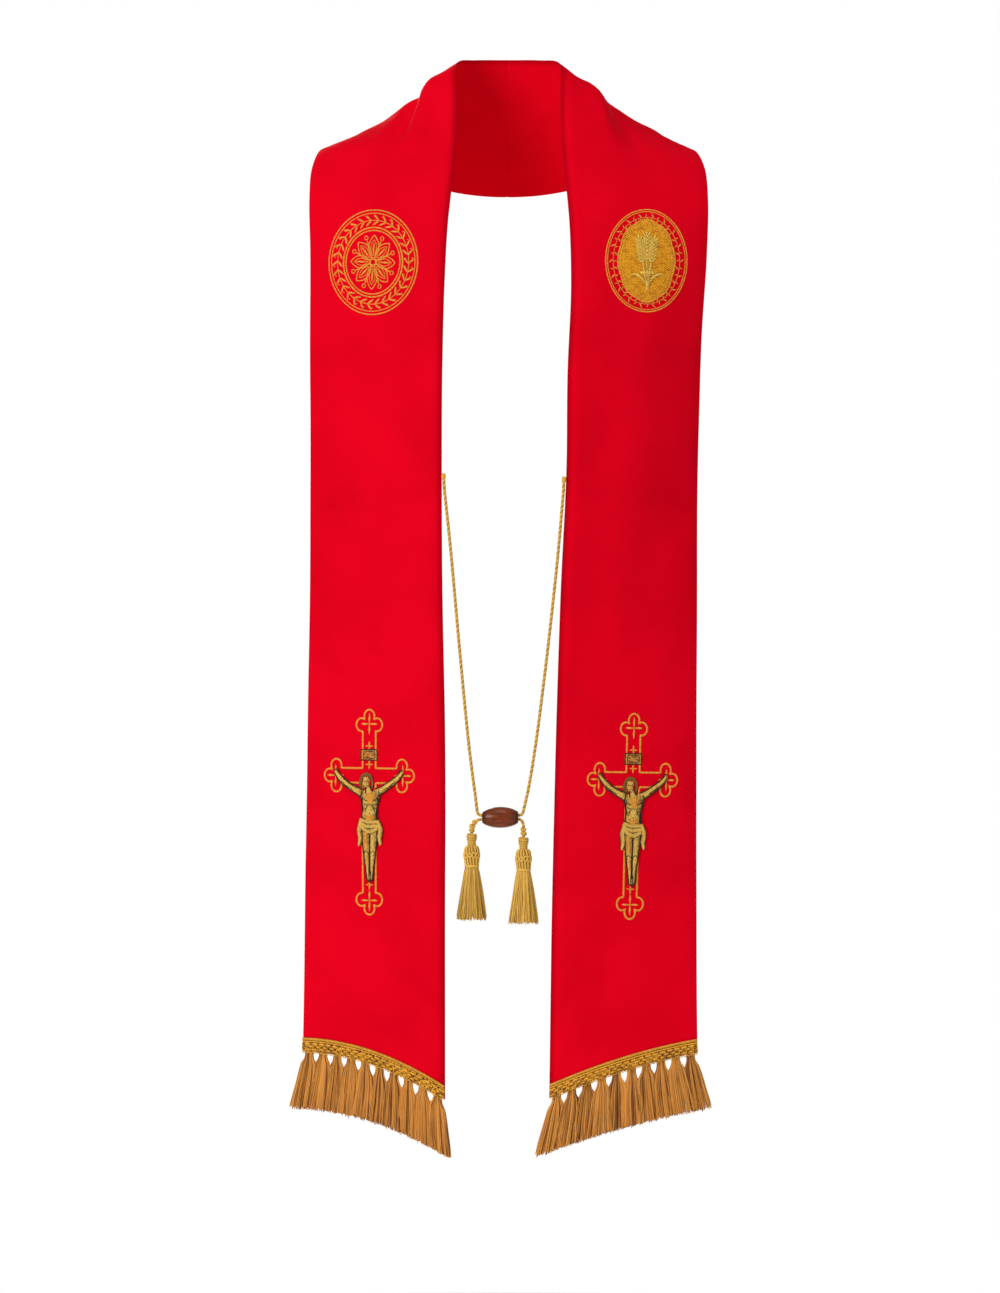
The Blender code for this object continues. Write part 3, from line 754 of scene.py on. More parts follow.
crossLook = {
    "left": ("left", (-171.4, -829.4), 0.0), "right": ("right", (156.4, -834.5), -0.022),
    "up": 82.5, "down": 174.0, "side": 56.0, "stem": 8.2, "bar": 9.2, "lobe": 7.1, "line": 2.9,
    "stretch": (0.92, 1.16), "spread": 1.5, "back": 2.3,
    # small budded crosses down the stem, and the plaque's half width, foot and top
    "fleurs": (37.0, 14.0, -136.5), "plaque": (10.2, 19.4, 32.6),
}


def aroundOval(rx, ry, count):
    # even turns round an oval, with the direction ahead at each
    for number in range(count):
        turn = 2 * math.pi * number / count
        yield turn, math.atan2(ry * math.cos(turn), -rx * math.sin(turn))


def leftEmblemStrokes():
    look = leftEmblem
    rx, ry, at = look["rx"], look["ry"], look["wreath"]
    thin = [(ellipse(rx - 1, ry - 1), look["line"]), (ellipse(rx * 0.925, ry * 0.925), 1.4)]
    rope = [(ellipse(rx * 0.655, ry * 0.655), 2.6), (ellipse(rx * 0.60, ry * 0.60), 2.0)]
    wreath = []
    for turn, ahead in aroundOval(rx, ry, look["leaves"]):
        for lean in (0.75, -0.75):
            wreath.append(leaf(rx * at * math.cos(turn), ry * at * math.sin(turn), ahead + lean,
                               look["leafLength"], look["leafWidth"]))
        # a berry between each pair of leaves
        berry = turn + math.pi / look["leaves"] * 1.25
        for reach in look["berries"]:
            x, y = rx * reach * math.cos(berry), ry * reach * math.sin(berry)
            thin.append((ellipse(0.7, 0.7, 8, x, y), 1.5))
    thin.append((ellipse(rx * at, ry * at), 1.2))
    wide, tall = look["stretch"]
    t = np.linspace(0, 1, 24)
    for number in range(look["petals"]):
        turn = 2 * math.pi * number / look["petals"] + math.pi / 2
        ca, sa = math.cos(turn), math.sin(turn)
        for bulge, start, reach, line in look["petalSides"]:
            away, aside = start + reach * t, bulge * np.sin(math.pi * t) ** 0.8
            edge = [(away * ca - aside * sa) * wide, (away * sa + aside * ca) * tall]
            thin.append((np.stack(edge, axis=1), line))
        wreath.append(leaf(9 * ca * wide, 9 * sa * tall, math.atan2(sa * tall, ca * wide), 14, 3.6))
        between = turn + math.pi / look["petals"]
        x, y = 28 * math.cos(between) * 0.93, 28 * math.sin(between) * 1.15
        wreath.append(leaf(x * 0.62, y * 0.62, math.atan2(y, x), 9, 2.6))
        thin.append((ellipse(2.2, 2.5, 20, x, y), 1.4))
    thin.append((ellipse(3.6, 4.0, 24), 1.8))
    return thin, wreath, rope


def scallopedOval(halfWide, halfHigh):
    # an oval ground with eight soft lobes round its edge
    t = np.linspace(0, 2 * math.pi, 240)
    swell = 1 + 0.05 * np.abs(np.cos(4 * t)) ** 0.7
    return np.stack([halfWide * swell * np.cos(t), halfHigh * swell * np.sin(t)], axis=1)


def inside(outline, x, y):
    # even-odd test of points against a closed outline
    hit = np.zeros(x.shape, bool)
    for (xa, ya), (xb, yb) in zip(outline, np.roll(outline, -1, axis=0)):
        if ya != yb:
            crosses = (ya > y) != (yb > y)
            hit ^= crosses & (x < (xb - xa) * (y - ya) / (yb - ya) + xa)
    return hit


def fillSpots(outline, row, stitch, tone=0.6):
    # a brick lattice of level threads inside an outline, in softly varied patches
    low, high = outline.min(axis=0), outline.max(axis=0)
    centre, reach = (low + high) / 2, np.linalg.norm(high - low) / 2
    spots = []
    for number, level in enumerate(np.arange(-reach, reach, row)):
        places = np.arange(-reach + (number * 0.382 % 1) * stitch, reach, stitch * 0.86)
        spots += [(centre[0] + place, centre[1] + level) for place in places]
    x, y = np.array(spots).T
    keep = inside(outline, x, y)
    x, y = x[keep], y[keep]
    shade = tone + 0.18 * np.sin(x * 0.31 + 1.3 * np.sin(y * 0.23)) * np.sin(y * 0.37 + x * 0.11)
    return np.stack(np.broadcast_arrays(x, y, 0.0, stitch, shade, 0.0), axis=1)


def rightEmblemStrokes():
    look = rightEmblem
    rx, ry, foot = look["rx"], look["ry"], look["foot"]
    ringX, ringY = rx * look["ring"][0], ry * look["ring"][1]
    thin = [(ellipse(rx - 1, ry - 1), look["line"]), (ellipse(rx * 0.935, ry * 0.945), 1.3)]
    sprigs = []
    for number, (turn, ahead) in enumerate(aroundOval(rx, ry, look["sprigs"])):
        # small curled sprigs, leaning one way and then the other
        hand = 1 if number % 2 else -1
        for back, lean, length, width in ((-1.8, hand * 0.95, 6.2, 2.5), (1.2, -hand * 1.9, 4.0, 2.0)):
            sprigs.append(leaf(ringX * math.cos(turn) + back * math.cos(ahead),
                               ringY * math.sin(turn) + back * math.sin(ahead), ahead + lean, length, width))
    sprigs.append((ellipse(ringX, ringY), 0.9))
    field = scallopedOval(*look["fieldHalf"])
    edge = [(field, 2.2), (field * 0.9, 1.1)]
    # a raised sheaf: three ears of wheat on stems, tied in the middle
    raised, lines = [], []
    for lean, top in look["stems"]:
        upright = math.pi / 2 - lean * 0.6

        def onStem(share):
            return np.sin(lean) * top * share * 0.9, foot + (top + 32) * share

        stem = np.stack(onStem(np.linspace(0, 1, 20)), axis=1)
        raised.append((stem, 2.0))
        for number in range(look["grains"]):
            spot = onStem(0.56 + 0.07 * number)
            for hand in (1, -1):
                raised.append(leaf(*spot, upright - hand * 0.6, 9.0, 3.8))
                lines.append((leaf(*spot, upright - hand * 0.6, 7.5, 3.8)[0], 0.6))
        raised.append(leaf(*stem[-1], upright, 9.5, 3.8))
        lines.append((stem + [1.5, 0], 0.8))
    for hand in (1, -1):
        sweep = np.linspace(0, 1, 16)
        blade = np.stack([hand * (2 + 19 * sweep), -28 + 30 * sweep - 20 * sweep**2], axis=1)
        raised.append((blade, 4.0 * np.sin(math.pi * np.clip(sweep, 0.05, 0.95)) ** 0.7))
        lines.append((blade - [0, 2.0], 0.7))
    tie = np.array([[-7.5, -15.0], [7.5, -15.0]])
    raised.append((tie, 5.0))
    lines += [(tie + [0, 3.2], 0.9), (tie - [0, 3.2], 0.9)]
    return thin, sprigs, fillSpots(field, look["row"], look["stitch"]), edge, raised, lines


def armEnd(reach, half, look):
    # one budded end of the cross in its own frame, from its right side round to its left
    lobe = look["lobe"]
    spread, back = lobe * look["spread"], lobe * look["back"]
    sideLobe, endLobe = np.array([spread, reach - back]), np.array([0.0, reach - lobe])
    drop = math.sqrt(max(lobe**2 - (half - spread) ** 2, 0))
    first = math.atan2(-drop, half - spread)
    gap = endLobe - sideLobe
    bend = math.acos(min(1, np.linalg.norm(gap) / 2 / lobe))
    last = math.atan2(gap[1], gap[0]) - bend
    rightArc = ellipse(lobe, lobe, 26, *sideLobe, start=first, sweep=last - first)
    topStart = math.atan2(-gap[1], -gap[0]) + bend
    topArc = ellipse(lobe, lobe, 22, *endLobe, start=topStart, sweep=math.pi - 2 * topStart)
    leftArc = (rightArc * [-1, 1])[::-1]
    return np.concatenate([rightArc, topArc, leftArc])


def crossStrokes():
    # drawn on a plain grid, then stretched to the cross's own proportions
    look = crossLook
    wide, tall = look["stretch"]
    stemX, barY = look["stem"] / wide, look["bar"] / tall
    up, down, side = look["up"] / tall, look["down"] / tall, look["side"] / wide
    quarter = np.array([[0, 1], [-1, 0]])
    ends = [armEnd(up, stemX, look), armEnd(side, barY, look) @ quarter,
            -armEnd(down, stemX, look), armEnd(side, barY, look) @ -quarter]
    corner = np.array([[-stemX, barY], [-stemX, -barY], [stemX, -barY], [stemX, barY]])
    outline = np.concatenate([ends[0], corner[:1], ends[1], corner[1:2], ends[2], corner[2:3], ends[3],
                              corner[3:4], ends[0][:1]]) * [wide, tall]
    # each arm's direction, its reach and the stretch along it, then a fleur's spindle and lozenge that way
    arms = ((math.pi / 2, look["up"], tall, 1.25, 4.6), (math.pi, look["side"], wide, 0.95, 4.2),
            (-math.pi / 2, look["down"], tall, 1.25, 4.6), (0.0, look["side"], wide, 0.95, 4.2))
    spots = []
    for ahead, reach, stretch, spindle, lozenge in arms:
        away = reach - look["lobe"] * look["back"] * stretch + 1.0
        spots.append((math.cos(ahead) * away, math.sin(ahead) * away, 10.5))
    spots += [(0.0, level, 4.6) for level in look["fleurs"]]
    fleurs = []
    for x, y, size in spots:
        # a small budded cross: two crossed spindles with a lozenge towards each end
        for turn, reach, stretch, spindle, lozenge in arms:
            dx, dy = math.cos(turn) * size, math.sin(turn) * size
            fleurs.append(leaf(x, y, turn, size * spindle, 3.2))
            fleurs.append(leaf(x + dx * 0.42, y + dy * 0.42, turn, size * 0.5, lozenge))
    half, low, high = look["plaque"]
    border = np.array([[-half, low], [half, low], [half, high], [-half, high], [-half, low]])
    inner = border * [0.74, 0.62] + [0, (low + high) / 2 * 0.38]
    plaque = fillSpots(border, 1.05, 3.4, tone=0.4)
    return [(outline, look["line"])], fleurs, plaque, [(border, 1.9), (inner, 1.0)]


def tapered(points, widths, count=24):
    # a smooth stroke through a few points with widths between them
    at = np.linspace(0, len(points) - 1, count)
    span = np.clip(at.astype(int), 0, len(points) - 2)
    return throughPoints(np.array(points, float), span, at - span), np.interp(at, range(len(widths)), widths)


def limbSpots(points, widths, tone=0.72, raised=1.3):
    # threads laid along a limb in lanes, light and high along its middle, dark and low at its sides
    lane, step = 1.05, 2.5
    line, wide = tapered(points, widths, 60)
    run, ahead = runAlong(line), unit(np.gradient(line, axis=0))
    lanes = max(3, int(round(max(widths) / lane)))
    spots = []
    for number in range(lanes):
        share = (number + 0.5) / lanes * 2 - 1
        at = np.arange((number * 0.382 % 1) * step, run[-1], step)
        (x, y), (dx, dy) = pointsAt(line, run, at).T, pointsAt(ahead, run, at).T
        aside = share * np.interp(at, run, wide) / 2
        shade, height = tone * (1 - 0.62 * abs(share + 0.18) ** 1.6), raised * (1 - share**2) ** 0.5
        spots += zip(*np.broadcast_arrays(x - dy * aside, y + dx * aside, np.arctan2(dy, dx), step * 1.35,
                                          shade, height))
    return spots


def limbEdges(points, widths, ink=1.9):
    # a drawn line down both sides of a limb
    line, wide = tapered(points, widths, 40)
    ahead = unit(np.gradient(line, axis=0))
    aside = np.stack([-ahead[:, 1], ahead[:, 0]], axis=1) * wide[:, None] / 2
    return [(line + aside, ink), (line - aside, ink)]


# a plain devotional figure on textbook proportions: arms out, cloth at the hips, feet together
figureLook = {
    # each row: the middle line in mm from the cross's centre, and widths along it
    "limbs": [
        ([(-41, 4.5), (-38, 0), (-31, -8), (-24, -13.5), (-16, -18), (-9, -21.5)],
         [4.6, 5.4, 7.2, 7.4, 8.2, 10]),
        ([(41, 3.8), (38, -0.5), (31, -7.5), (24, -12.5), (17, -17.5), (10.5, -21)],
         [4.6, 5.4, 7.2, 7.4, 8.2, 10]),
        ([(2, -19), (2, -27), (1.4, -40), (1, -56)], [21, 24.5, 19, 20]),
        ([(-3.4, -60), (-3.6, -78), (-2.8, -94), (-1.8, -108), (-0.8, -123)], [10.5, 10, 8, 6.8, 5]),
        ([(6, -60), (5.8, -78), (4.8, -94), (3.6, -108), (2.6, -123)], [10.5, 9.8, 8, 6.8, 5]),
        ([(-0.6, -120), (-0.2, -130)], [6.4, 4.8]),
        ([(3.0, -120), (2.4, -130)], [6.0, 4.4]),
        ([(-1.0, -14), (0.6, -21)], [6.0, 9.0]),
    ],
    "head": ([(-3, -2), (-3.2, -7.5), (-2.8, -13.5)], [7.0, 9.4, 5.8]),
    "cloth": [
        ([(-10.5, -54.8), (0, -57.8), (13, -57.2)], [5.6, 6.0, 5.6]),
        ([(-10.5, -59.4), (0, -63.4), (13, -61.8)], [5.2, 5.8, 5.2]),
        ([(-9.4, -63.6), (0.6, -70.0), (11.4, -65.4)], [4.8, 6.4, 4.8]),
        ([(-9.6, -57), (-11.6, -68), (-10.6, -78), (-12.0, -87)], [4.2, 6.0, 5.4, 2.6]),
        ([(12.6, -58), (15.0, -68), (13.8, -78), (15.2, -86)], [4.2, 6.0, 5.4, 2.6]),
    ],
    "hair": [
        ([(-3, 1.2), (-8.2, -1.2), (-10.4, -7), (-10.2, -13), (-9.0, -20)], [3.6, 4.6, 4.4, 4.4, 2.2]),
        ([(-3, 1.2), (2.4, -1.0), (4.4, -6), (4.6, -11), (4.0, -15.5)], [3.6, 4.2, 3.6, 3.2, 1.6]),
        ([(-8.4, 0.2), (-3, 2.8), (2.6, 0.2)], [2.6, 3.4, 2.6]),
        ([(-5.8, -12.4), (-3, -16.2), (-0.2, -12.6)], [2.0, 4.2, 2.0]),
    ],
    # parts worked over in a warmer gold: chest, belly and the nearer leg
    "warm": [
        ([(2.0, -22), (2.2, -28), (2.0, -34)], [10, 13, 7]),
        ([(1.4, -50), (1.2, -56)], [13, 12]),
        ([(-3.8, -70), (-3.6, -82), (-3.0, -92)], [4.6, 6.2, 3.6]),
        ([(-2.2, -100), (-1.4, -112)], [3.4, 2.6]),
    ],
    "drawn": [
        ([(11.4, -26), (11.8, -34), (9.6, -46), (9.4, -54)], [1.2, 2.6, 2.4, 1.6]),
        ([(-7.6, -26), (-8.2, -34), (-6.4, -44)], [1.0, 1.8, 1.0]),
        ([(-5.4, -35.6), (-3.4, -36.6), (-1.6, -35.8)], [0.9, 1.3, 0.9]),
        ([(5.4, -35.6), (7.2, -36.6), (9.2, -35.2)], [0.9, 1.3, 0.9]),
        ([(-5.6, -40.4), (-4.2, -41.2)], [1.0, 1.2]),
        ([(7.0, -41.2), (8.6, -40.2)], [1.2, 1.0]),
        ([(1.2, -62), (1.2, -78), (1.0, -94), (1.0, -110), (1.0, -124)], [2.2, 2.6, 1.8, 1.6, 1.4]),
        ([(-7.4, -60.6), (0, -60.8), (9, -60.0)], [1.2, 1.6, 1.2]),
        ([(-6.6, -66.0), (1.0, -66.8), (9.0, -63.8)], [1.1, 1.5, 1.1]),
        ([(-10.8, -62), (-12.6, -70), (-11.2, -80)], [1.0, 1.6, 1.0]),
        ([(13.0, -62), (14.6, -70), (13.4, -80)], [1.0, 1.6, 1.0]),
        ([(-34.0, -7.4), (-27.6, -13.4), (-20.0, -18.2)], [1.0, 1.8, 1.2]),
        ([(34.0, -6.6), (27.6, -12.0), (20.0, -17.4)], [1.0, 1.8, 1.2]),
        ([(-7.0, -28.5), (-3.0, -31.4), (1.2, -29.0)], [1.2, 1.6, 1.2]),
        ([(3.0, -29.0), (7.0, -31.2), (11.0, -28.0)], [1.2, 1.6, 1.2]),
        ([(1.8, -22), (2.0, -34)], [1.2, 1.2]),
        ([(-4.6, -45), (-2.4, -38.4), (1.6, -36.2), (5.4, -38.4), (7.4, -45)], [1.2, 1.4, 1.3, 1.4, 1.2]),
        ([(-3.6, -50.0), (1.4, -52.2), (6.4, -50.0)], [1.1, 1.3, 1.1]),
        ([(1.2, -47.0), (1.3, -48.4)], [1.6, 1.6]),
        ([(-6.6, -97), (-3.2, -94.6), (-0.2, -97.4)], [1.2, 1.5, 1.2]),
        ([(1.6, -97.4), (4.8, -94.6), (8.2, -97)], [1.2, 1.5, 1.2]),
        ([(-2.4, -130), (1.2, -132.6), (4.4, -130)], [1.8, 3.2, 1.8]),
        ([(-43, 6.6), (-40, 8.2), (-37.4, 6.0)], [1.3, 1.6, 1.3]),
        ([(43, 6.0), (40, 7.6), (37.4, 5.2)], [1.3, 1.6, 1.3]),
    ],
    "face": [
        ([(-6.0, -7.0), (-4.9, -7.5), (-3.9, -7.0)], [1.0, 1.1, 1.0]),
        ([(-2.0, -7.0), (-0.9, -7.5), (0.2, -7.0)], [1.0, 1.1, 1.0]),
        ([(-2.9, -7.2), (-2.7, -9.8), (-3.4, -10.6)], [0.7, 0.7, 0.8]),
        ([(-4.4, -12.2), (-3.0, -12.5), (-1.6, -12.2)], [0.8, 0.9, 0.8]),
    ],
}


def figureStrokes():
    look = figureLook
    skin, warm, wrap, ink = [], [], [], []
    for row in look["limbs"]:
        skin += limbSpots(*row)
        ink += limbEdges(*row)
    skin += limbSpots(*look["head"], raised=2.0, tone=0.85)
    for row in look["cloth"]:
        wrap += limbSpots(*row, tone=0.9, raised=2.4)
        ink += limbEdges(*row, 1.3)
    for row in look["warm"]:
        warm += limbSpots(*row, tone=0.7, raised=1.2)
    drawn, hair, face = ([tapered(*row) for row in look[key]] for key in ("drawn", "hair", "face"))
    return skin, warm, wrap, hair, ink + drawn, face


def embroiderEmblems():
    place = leftEmblem["place"]
    thin, wreath, rope = leftEmblemStrokes()
    embroider("leftEmblemLines", place, thin, goldThread, seed=3)
    embroider("leftEmblemLeaves", place, wreath, goldThread, slant=0.5, seed=4)
    embroider("leftEmblemRope", place, rope, goldThread, pitch=1.7, threadWidth=2.0, threadHeight=1.3,
              slant=0.75, seed=5)
    place = rightEmblem["place"]
    thin, sprigs, fill, edge, raised, lines = rightEmblemStrokes()
    embroider("rightEmblemLines", place, thin, goldThread, seed=6)
    embroider("rightEmblemSprigs", place, sprigs, goldThread, slant=0.4, seed=7)
    brickFill("rightEmblemField", place, fill, fieldThread, seed=8)
    embroider("rightEmblemEdge", place, edge, goldThread, lift=0.45, seed=9)
    embroider("rightEmblemSheaf", place, raised, sheafThread, lift=0.8, slant=0.45, threadHeight=1.2, seed=10)
    embroider("rightEmblemDrawn", place, lines, antiqueThread, lift=1.1, seed=11)


def embroiderCross(side, number):
    place = crossLook[side]
    lines, fleurs, plaque, borders = crossStrokes()
    skin, warm, wrap, hair, ink, face = figureStrokes()
    embroider(side + "CrossLines", place, lines, goldThread, seed=20 + number)
    embroider(side + "CrossFleurs", place, fleurs, goldThread, slant=0.45, seed=22 + number)
    brickFill(side + "CrossPlaque", place, plaque, antiqueThread, seed=24 + number)
    embroider(side + "PlaqueFrame", place, borders, outlineThread, lift=0.5, seed=25 + number)
    brickFill(side + "FigureSkin", place, skin, antiqueThread, lift=0.6, seed=26 + number)
    brickFill(side + "FigureCloth", place, wrap, antiqueThread, lift=0.8, seed=28 + number)
    brickFill(side + "FigureWarm", place, warm, goldThread, lift=1.3, seed=34 + number)
    embroider(side + "FigureHair", place, hair, hairThread, lift=1.7, pitch=0.8, threadHeight=1.3,
              seed=36 + number)
    embroider(side + "FigureLines", place, ink, outlineThread, lift=1.9, pitch=0.7, threadWidth=0.95,
              threadHeight=1.3, seed=30 + number)
    embroider(side + "FigureFace", place, face, outlineThread, lift=2.8, pitch=0.5, threadWidth=0.6,
              threadHeight=0.6, seed=32 + number)


embroiderEmblems()
embroiderCross("left", 0)
embroiderCross("right", 1)
print("embroidery made")


# Hem braid

braidLook = {
    # the tape's top and foot above the hem, its lift over the cloth and its thickness
    "height": 17.6, "foot": 0.8, "lift": 0.45, "tape": 0.8,
    # rise above the hem, radius, twist pitch and tone of each cord laid along the top
    "cords": [(15.8, 1.75, 5.5, 0.34), (12.7, 1.0, 3.0, 0.95)],
    # rise and tone of the two rows of large loops; rise, tone, width, height, yarn and lean of the small ones
    "loopRows": [(8.4, 0.24), (4.4, 0.32)], "loops": (6.8, 8.6, 0.85, 0.55), "loopPitch": 4.5,
    "edging": (0.4, 0.7), "edgingLoops": (3.8, 4.4, 0.6, 0.2),
    # rise, shift along the braid, length and height of the bright knots
    "knotRows": [(9.7, 0.0, 6.4, 3.3), (6.3, 4.5, 4.6, 2.9), (3.0, 0.0, 4.4, 3.2)], "knotPitch": 9.0,
    # a knot's width along it as shares of its height, and how far knots stray along and up
    "knotShape": (0.45, 0.8, 0.97, 1, 0.97, 0.8, 0.45), "stray": (0.3, 0.25),
}


def hemPath(side, rise, lift, count=90, low=0.006, high=0.994):
    across = np.linspace(low, high, count)
    along = hemAt(side, across) - rise
    return onCloth(side, along, across, lift), clothNormal(side, along, across)


def twistedRope(centre, radius, strandShare, pitch, seed, shade, strands=3, core=0.0, notchShade=0.0):
    # helical paths of a laid rope round a centre line, all in metres; if asked, a near-black core between
    # them and plies lighter and darker in turn, painted shade for the grooves and notches
    tangent = unit(np.gradient(centre, axis=0))
    side = np.cross(tangent[0], (0.0, 1.0, 0.0))
    if np.linalg.norm(side) < 0.1:
        side = np.cross(tangent[0], (1.0, 0.0, 0.0))
    sides = []
    for way in tangent:
        side = side - way * side.dot(way)
        side = side / np.linalg.norm(side)
        sides.append(side)
    sides = np.array(sides)
    uprights = np.cross(tangent, sides)
    run = runAlong(centre)
    rng = np.random.default_rng(seed)
    paths = []
    thick = radius * strandShare
    for number in range(strands):
        turn = 2 * math.pi * (run / pitch + number / strands)
        line = centre + (radius - thick) * (np.cos(turn)[:, None] * sides + np.sin(turn)[:, None] * uprights)
        # painted shade: with this setting the plies are made lighter and darker in turn, so dark notches show
        # where they cross
        tone = shade + notchShade * (-1) ** number + 0.2 * rng.random() + 0.06 * np.sin(run / 0.004 + number)
        paths.append(strand(line, thick, tone))
    # painted shade: a near-black strand down the middle shows in the grooves between the plies
    if core:
        paths.append(strand(centre, radius * core, 0.0))
    return paths


def makeTape(side):
    # the flat ground that the cords and loops are sewn on, kept at the lame's darkest tone as painted shade
    # in the gaps between them
    look = braidLook
    across = np.linspace(0.004, 0.996, 60)
    rises = np.linspace(look["height"], look["foot"], 7)
    along = hemAt(side, across)[None, :] - rises[:, None]
    top = onCloth(side, along, across, bandShape["wall"] / 2 + look["lift"] + look["tape"]).reshape(-1, 3)
    under = onCloth(side, along, across, bandShape["wall"] / 2 + look["lift"] - 0.3).reshape(-1, 3)
    total = len(top)
    index = np.arange(total).reshape(along.shape)
    faces = []
    corners = (index[:-1, :-1], index[:-1, 1:], index[1:, 1:], index[1:, :-1])
    for a, b, c, d in zip(*(corner.ravel().tolist() for corner in corners)):
        faces += [(a, b, c, d), (total + d, total + c, total + b, total + a)]
    rim = [*index[0].tolist(), *index[1:, -1].tolist(), *index[-1, -2::-1].tolist(),
           *index[-2:0:-1, 0].tolist()]
    faces += [(b, a, total + a, total + b) for a, b in zip(rim, rim[1:] + rim[:1])]
    tape = makeMesh(side + "BraidTape", np.concatenate([top, under]), faces)
    fixNormals(tape)
    # painted shade: the tape takes the darkest end of the lame's colours, so the gaps between loops and knots
    # read as shadow
    addPointValues(tape, shade=np.full(2 * total, 0.02))
    tape.data.materials.append(lameYarn)
    finishPiece(tape, "braid", side + "_braid")


def layLoops(side, name, rise, tone, lift, inset, loops, seed):
    width, height, yarn, lean = loops
    line, normals = hemPath(side, rise, lift, low=inset, high=1 - inset)
    guide = joinGuides(side + name, [(line, {"up": normals, "tone": np.full(len(line), tone)})])
    finishPiece(runTree(guide, yarnLoops, pitch=braidLook["loopPitch"] * mm, loopWidth=width * mm,
                        loopHeight=height * mm, yarn=yarn * mm, lean=lean, seed=seed, material=lameYarn),
                "braid")


def makeBraid(side):
    look, width = braidLook, bandShape["width"]
    base = bandShape["wall"] / 2 + look["lift"]
    makeTape(side)
    ropes = []
    for number, (rise, radius, twist, shade) in enumerate(look["cords"]):
        line = hemPath(side, rise, base + look["tape"] + radius * 0.6)[0]
        ropes += twistedRope(denser(line, 0.0007), radius * mm, 0.56, (-twist if number else twist) * mm,
                             seed=5 + number, shade=shade)
    layStrands(side + "BraidCords", ropes, 6, lameYarn, "braid")

    # two rows of leaning loops that run through each other, and small ones along the lower edge
    for number, row in enumerate(look["loopRows"]):
        layLoops(side, "BraidLoops" + "AB"[number], *row, base + look["tape"] + 0.5 + 0.3 * number, 0.024,
                 look["loops"], 7 + number)
    layLoops(side, "BraidEdging", *look["edging"], base + 0.6, 0.016, look["edgingLoops"], 9)

    # bright knots where the loops cross: each a few turns of yarn, in staggered rows
    knots = []
    rng = np.random.default_rng(15)
    shape, (strayAlong, strayUp) = np.array(look["knotShape"]), look["stray"]
    for rise, shift, length, height in look["knotRows"]:
        for place in np.arange(4.0 + shift, width - 3.5, look["knotPitch"]):
            half, middle = length / 2 / width, (place + rng.normal(0, strayAlong)) / width
            line, normals = hemPath(side, rise + rng.normal(0, strayUp), base + look["tape"] + 1.5,
                                    count=len(shape), low=middle - half, high=middle + half)
            knots.append((line, {"up": normals, "wide": height * mm * shape,
                                 "tone": np.full(len(shape), rng.uniform(0.78, 1.0))}))
    finishPiece(runTree(joinGuides(side + "BraidKnots", knots), satinStitch, pitch=1.0 * mm,
                        threadWidth=1.35 * mm, threadHeight=1.5 * mm, slant=0.0, seed=8,
                        material=lameYarn), "braid")


for side in ("left", "right"):
    makeBraid(side)
print("hem braid made")


# Fringe

fringeLook = {
    "locks": 10, "plies": 11, "strands": 11, "loose": 44, "length": 71.5, "thick": 0.5, "depth": 2.1,
    # share of the length, and the lock's width there as a share of its pitch
    "spread": [(0.0, 0.54), (0.06, 0.54), (0.12, 0.62), (0.17, 0.82), (0.22, 1.04), (0.4, 1.22), (1.0, 1.5)],
    # shares of the length where each strand has a point
    "points": (0, 0.06, 0.12, 0.17, 0.22, 0.4, 0.6, 0.8, 1.0),
    # how much locks differ in lean and in the height where they open, and plies in sway and in tone
    "lockLean": 0.0022, "lockOpening": 0.10, "plySway": 0.003, "plyTone": (0.54, 0.22),
    # how much strands differ in place, depth, length and tone, and the loose strands' tone, darker as painted
    # shade since they lie at the back
    "place": 0.08, "stray": 0.25, "lengthSpread": 0.02, "toneSpread": 0.27, "looseShadedTone": 0.42,
}


def makeFringe(side, seed):
    look = fringeLook
    rng = np.random.default_rng(seed)
    paths = []
    t = np.array(look["points"])
    for lock in range(look["locks"]):
        centre, drift = (lock + 0.5) / look["locks"], rng.normal(0, look["lockLean"])
        # each gap between two locks closes at its own height
        early = 1 + rng.normal(0, look["lockOpening"])
        narrow = np.interp(t * early, *np.array(look["spread"]).T)
        for ply in range(look["plies"] + 1):
            # strands keep together in plies, each with its own shade, depth and slow bend; the last is loose
            loose = ply == look["plies"]
            plyX = (ply + 0.5) / look["plies"] * 2 - 1
            plyY = -0.55 if loose else rng.uniform(-1, 1) * math.sqrt(1 - plyX**2)
            plyTone = rng.normal(*look["plyTone"])
            sway, phase = rng.normal(0, look["plySway"]), rng.random() * 6
            for number in range(look["loose"] if loose else look["strands"]):
                # loose strands are spread evenly, so that no slit opens between two locks
                even = 2 * (number + rng.uniform(0, 1)) / look["loose"] - 1 if loose else 0
                x = even if loose else np.clip(plyX + rng.normal(0, look["place"]), -1, 1)
                y = plyY + rng.normal(0, look["stray"])
                length = look["length"] * (1 + rng.normal(0, look["lengthSpread"])) - 1.5 * abs(x)
                across = centre + x * narrow / look["locks"] / 2 + (drift + (0 if loose else sway)) * t**2
                across = across + 0.0016 * np.sin(phase + 6 * t) * t
                deep = y * look["depth"] * (0.7 + 0.5 * t) + 0.5 * np.sin(phase * 2 + 4 * t) * t
                along = hemAt(side, np.clip(across, 0, 1)) + 0.4 + length * t
                points = onCloth(side, along, across, 0.3 + deep)
                # painted shade: darker deep in the lock and near its root, where the strands lie in shadow
                tone = look["looseShadedTone"] if loose else plyTone + 0.2 * y
                tone = (tone + rng.normal(0, look["toneSpread"])) * np.interp(t, [0, 0.14, 1], [0.62, 1, 1])
                paths.append(strand(points, look["thick"] * mm * (1 - 0.15 * t**3),
                                    np.clip(tone + 0.1 * np.sin(9 * t + phase), 0, 1)))
    layStrands(side + "Fringe", paths, 4, fringeYarn, "fringe", side + "_fringe")


makeFringe("left", 11)
makeFringe("right", 12)
print("fringe made")


# Cords, bead and tassels

